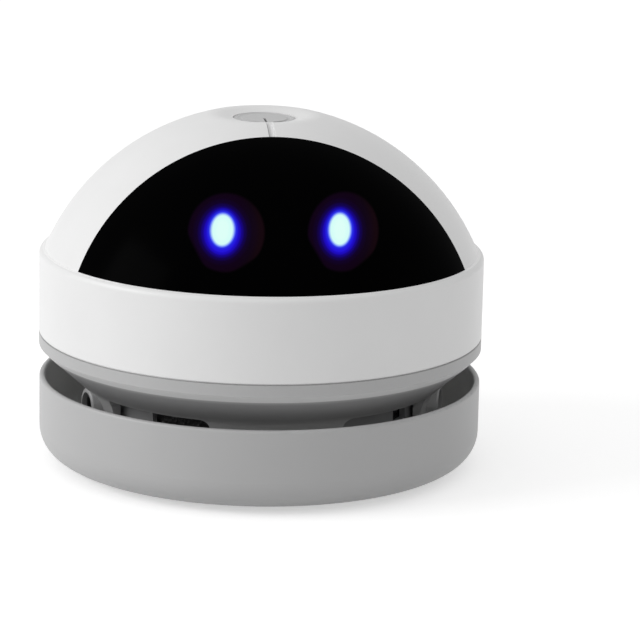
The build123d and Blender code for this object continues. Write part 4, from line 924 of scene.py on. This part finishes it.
def button_cap(top, flange_r):
    """A solid of revolution on a profile of (r, z) rows, from the middle of the face round
    the skirt to the middle of the stem, with the face lowered by the sign's depth where
    the distance to its line is less than the line's half width. Points, faces, painted shade."""
    face_r = np.linspace(pole_r, button_face_r - button_edge_r, sign_rings)
    face = np.stack([face_r, np.full(sign_rings, top)], 1)
    bend = np.linspace(0, np.pi / 2, button_edge_steps)[1:]
    edge = np.stack([button_face_r - button_edge_r * (1 - np.sin(bend)),
                     top - button_edge_r * (1 - np.cos(bend))], 1)
    under, skirt = top - button_face_t, top - button_skirt_h
    inner_r = button_face_r - button_wall
    rest = np.array([
        (button_face_r, skirt), (flange_r, skirt), (flange_r, skirt - button_flange_h),
        (inner_r, skirt - button_flange_h), (inner_r, under), (stem_r, under), (stem_r, under - stem_len),
        (pole_r, under - stem_len)])
    profile = np.concatenate([face, edge, rest])
    turn = np.arange(button_columns)[:, None] * 2 * np.pi / button_columns
    x = profile[:, 0] * np.sin(turn)
    y = -profile[:, 0] * np.cos(turn)
    sunk = np.clip((sign_line - sign_distance(x, y)) / sign_soft, 0, 1)
    on_face = np.arange(len(profile)) < sign_rings
    forward = sign_shallow + (1 - sign_shallow) * (0.5 + 0.5 * np.cos(turn)) ** 2
    z = profile[:, 1] - sign_depth * forward * sunk * sunk * (3 - 2 * sunk) * on_face
    front_shade = sunk * on_face * np.clip((np.cos(turn) - front_shade_end) / (front_shade_full - front_shade_end), 0, 1)
    points = np.stack([x, y, z], axis=-1)
    index = np.arange(points.size // 3).reshape(button_columns, len(profile))
    beside = np.roll(index, -1, axis=0)
    walls = np.stack([index[:, :-1], index[:, 1:], beside[:, 1:], beside[:, :-1]], axis=-1).reshape(-1, 4)
    ends = [index[:, 0][None, :], index[::-1, -1][None, :]]
    return points.reshape(-1, 3), [walls, *ends], front_shade


def sign_painted_shade(tree, x, y, z, radius):
    """Painted shade in the front of the sign's line, as the cap's mesh keeps it."""
    return kept_values(tree, "front_shade")


_, flange_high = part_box("power_button")
button_grey = moulded("button_satin_abs", colour=(0.56, 0.56, 0.563, 1), gloss=0.45, grain=0.2 * mm,
                      depth=0.004 * mm)
# painted shade: the front of the sign's groove is painted dark
lay_over(button_grey, sign_painted_shade, (0.15, 0.15, 0.15, 1))
cap_points, cap_faces, cap_front_shade = button_cap(flange_high.z, flange_high.x)
button_cap_piece = make_piece("crown_button", cap_points, cap_faces, button_grey, "button")
button_cap_piece.data.set_sharp_from_angle(angle=sharp_angle)
keep_values(button_cap_piece, "front_shade", cap_front_shade)
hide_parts("power_button")

# -------------------------------- return spring
# Music wire wound round the button's stem, standing on the switch. It shortens as the
# button goes down.
spring_turns = 4.0
spring_steps = 240
wire_sides = 10
wire_r = 0.22 * mm
coil_r = 2.5 * mm
spring_low, spring_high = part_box("button_spring")
spring_len = spring_high.z - spring_low.z
way = np.linspace(0, 1, spring_steps)
coil_turn = way * spring_turns * 2 * np.pi
coil_rise = spring_low.z + wire_r + (spring_len - 2 * wire_r) * way
coil = np.stack([coil_r * np.cos(coil_turn), coil_r * np.sin(coil_turn), coil_rise], axis=-1)[None]
spring_points, spring_faces = tubes(coil, wire_r, wire_sides, (0.0, 0.0, 1.0))
spring = make_piece("return_spring", spring_points, spring_faces, bright_steel, "head")
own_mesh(spring)
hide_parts("button_spring")

# -------------------------------- switch, boards, lamps
# Under the crown a round glass-fibre board carries the switch and its chips, and a small
# one on a white bracket carries the two lamps and their clear pipes. Green mask lies over
# the copper tracks and shows them.
track_pitch = 1.27 * mm
track_edge = (0.40, 0.44)    # where a track's side starts and ends, in pitches


def board_material():
    """Solder mask over tracks: the borders of square cells a pitch wide, where the
    distance to a cell's middle is largest, lie a little higher and lighter than the bare
    board, and coarse noise picks the regions that have them."""
    material, tree, shader, place = start_material("masked_board", Specular_IOR_Level=0.5)
    inputs = {"Vector": place, "Scale": 1 / track_pitch, "Randomness": 0.0}
    cells = put(tree, "ShaderNodeTexVoronoi", inputs, distance="CHEBYCHEV").outputs["Distance"]
    routed = maths(tree, "GREATER_THAN", noise(tree, place, scale=260.0, detail=0.0), 0.5)
    tracks = maths(tree, "MULTIPLY", ranged(tree, cells, *track_edge), routed)
    shade = mixed(tree, tracks, (0.012, 0.10, 0.045, 1), (0.03, 0.21, 0.09, 1))
    wire(tree, shader, shade, ranged(tree, tracks, low=0.38, high=0.28), tracks, depth=0.03 * mm)
    return material


green_board = board_material()
chip_black = moulded("moulded_packages", colour=(0.022, 0.022, 0.023, 1), gloss=0.55, grain=0.08 * mm,
                     depth=0.004 * mm, dust=0.2)
switch_black = moulded("switch_nylon", colour=(0.030, 0.030, 0.031, 1), gloss=0.50, grain=0.12 * mm,
                       depth=0.004 * mm, dust=0.2)
pipe, tree, shader, place = start_material("light_pipe", Emission_Strength=0.8, IOR=1.49)
cloud = noise(tree, place, scale=600.0, detail=2.0)
shade = mixed(tree, cloud, (0.45, 0.70, 0.95, 1), (0.70, 0.92, 1.0, 1))
wire(tree, shader, shade, ranged(tree, cloud, low=0.15, high=0.35))
tree.links.new(shade, shader.inputs["Emission Color"])
dress(switch_black, "push_switch", "switch_plunger")
dress(green_board, "main_board", "led_board")
dress(chip_black, "board_parts")
dress(zinc, "board_screws")
dress(pipe, "eye_lamps", "eye_pipe_left", "eye_pipe_right")
dress(deck_white, "led_bracket")

# -------------------------------- cell and charging inlet
# A cylindrical cell in a blue shrink sleeve lies in the deck's cradle. The charging
# board stands on pegs at the back, with its plated steel socket in the band's slot.
crease_start, crease_end = 20 * mm, 24 * mm      # the sleeve creases from here to the cell's ends
sleeve_blue, tree, shader, place = start_material("shrink_sleeve", Specular_IOR_Level=0.5, Coat_Weight=0.3)
creases = noise(tree, vectors(tree, "MULTIPLY", place, (1.0, 0.25, 0.25)), scale=900.0, detail=2.0)
from_middle = maths(tree, "ABSOLUTE", put(tree, "ShaderNodeSeparateXYZ", {0: place}).outputs["X"])
folded = maths(tree, "MULTIPLY", creases, ranged(tree, from_middle, crease_start, crease_end))
shade = mixed(tree, creases, (0.075, 0.20, 0.47, 1), (0.11, 0.28, 0.60, 1))
wire(tree, shader, shade, ranged(tree, creases, low=0.2, high=0.34), folded, depth=0.08 * mm)
dress(sleeve_blue, "battery_cell")
dress(green_board, "usb_board")
dress(bright_steel, "usb_socket")
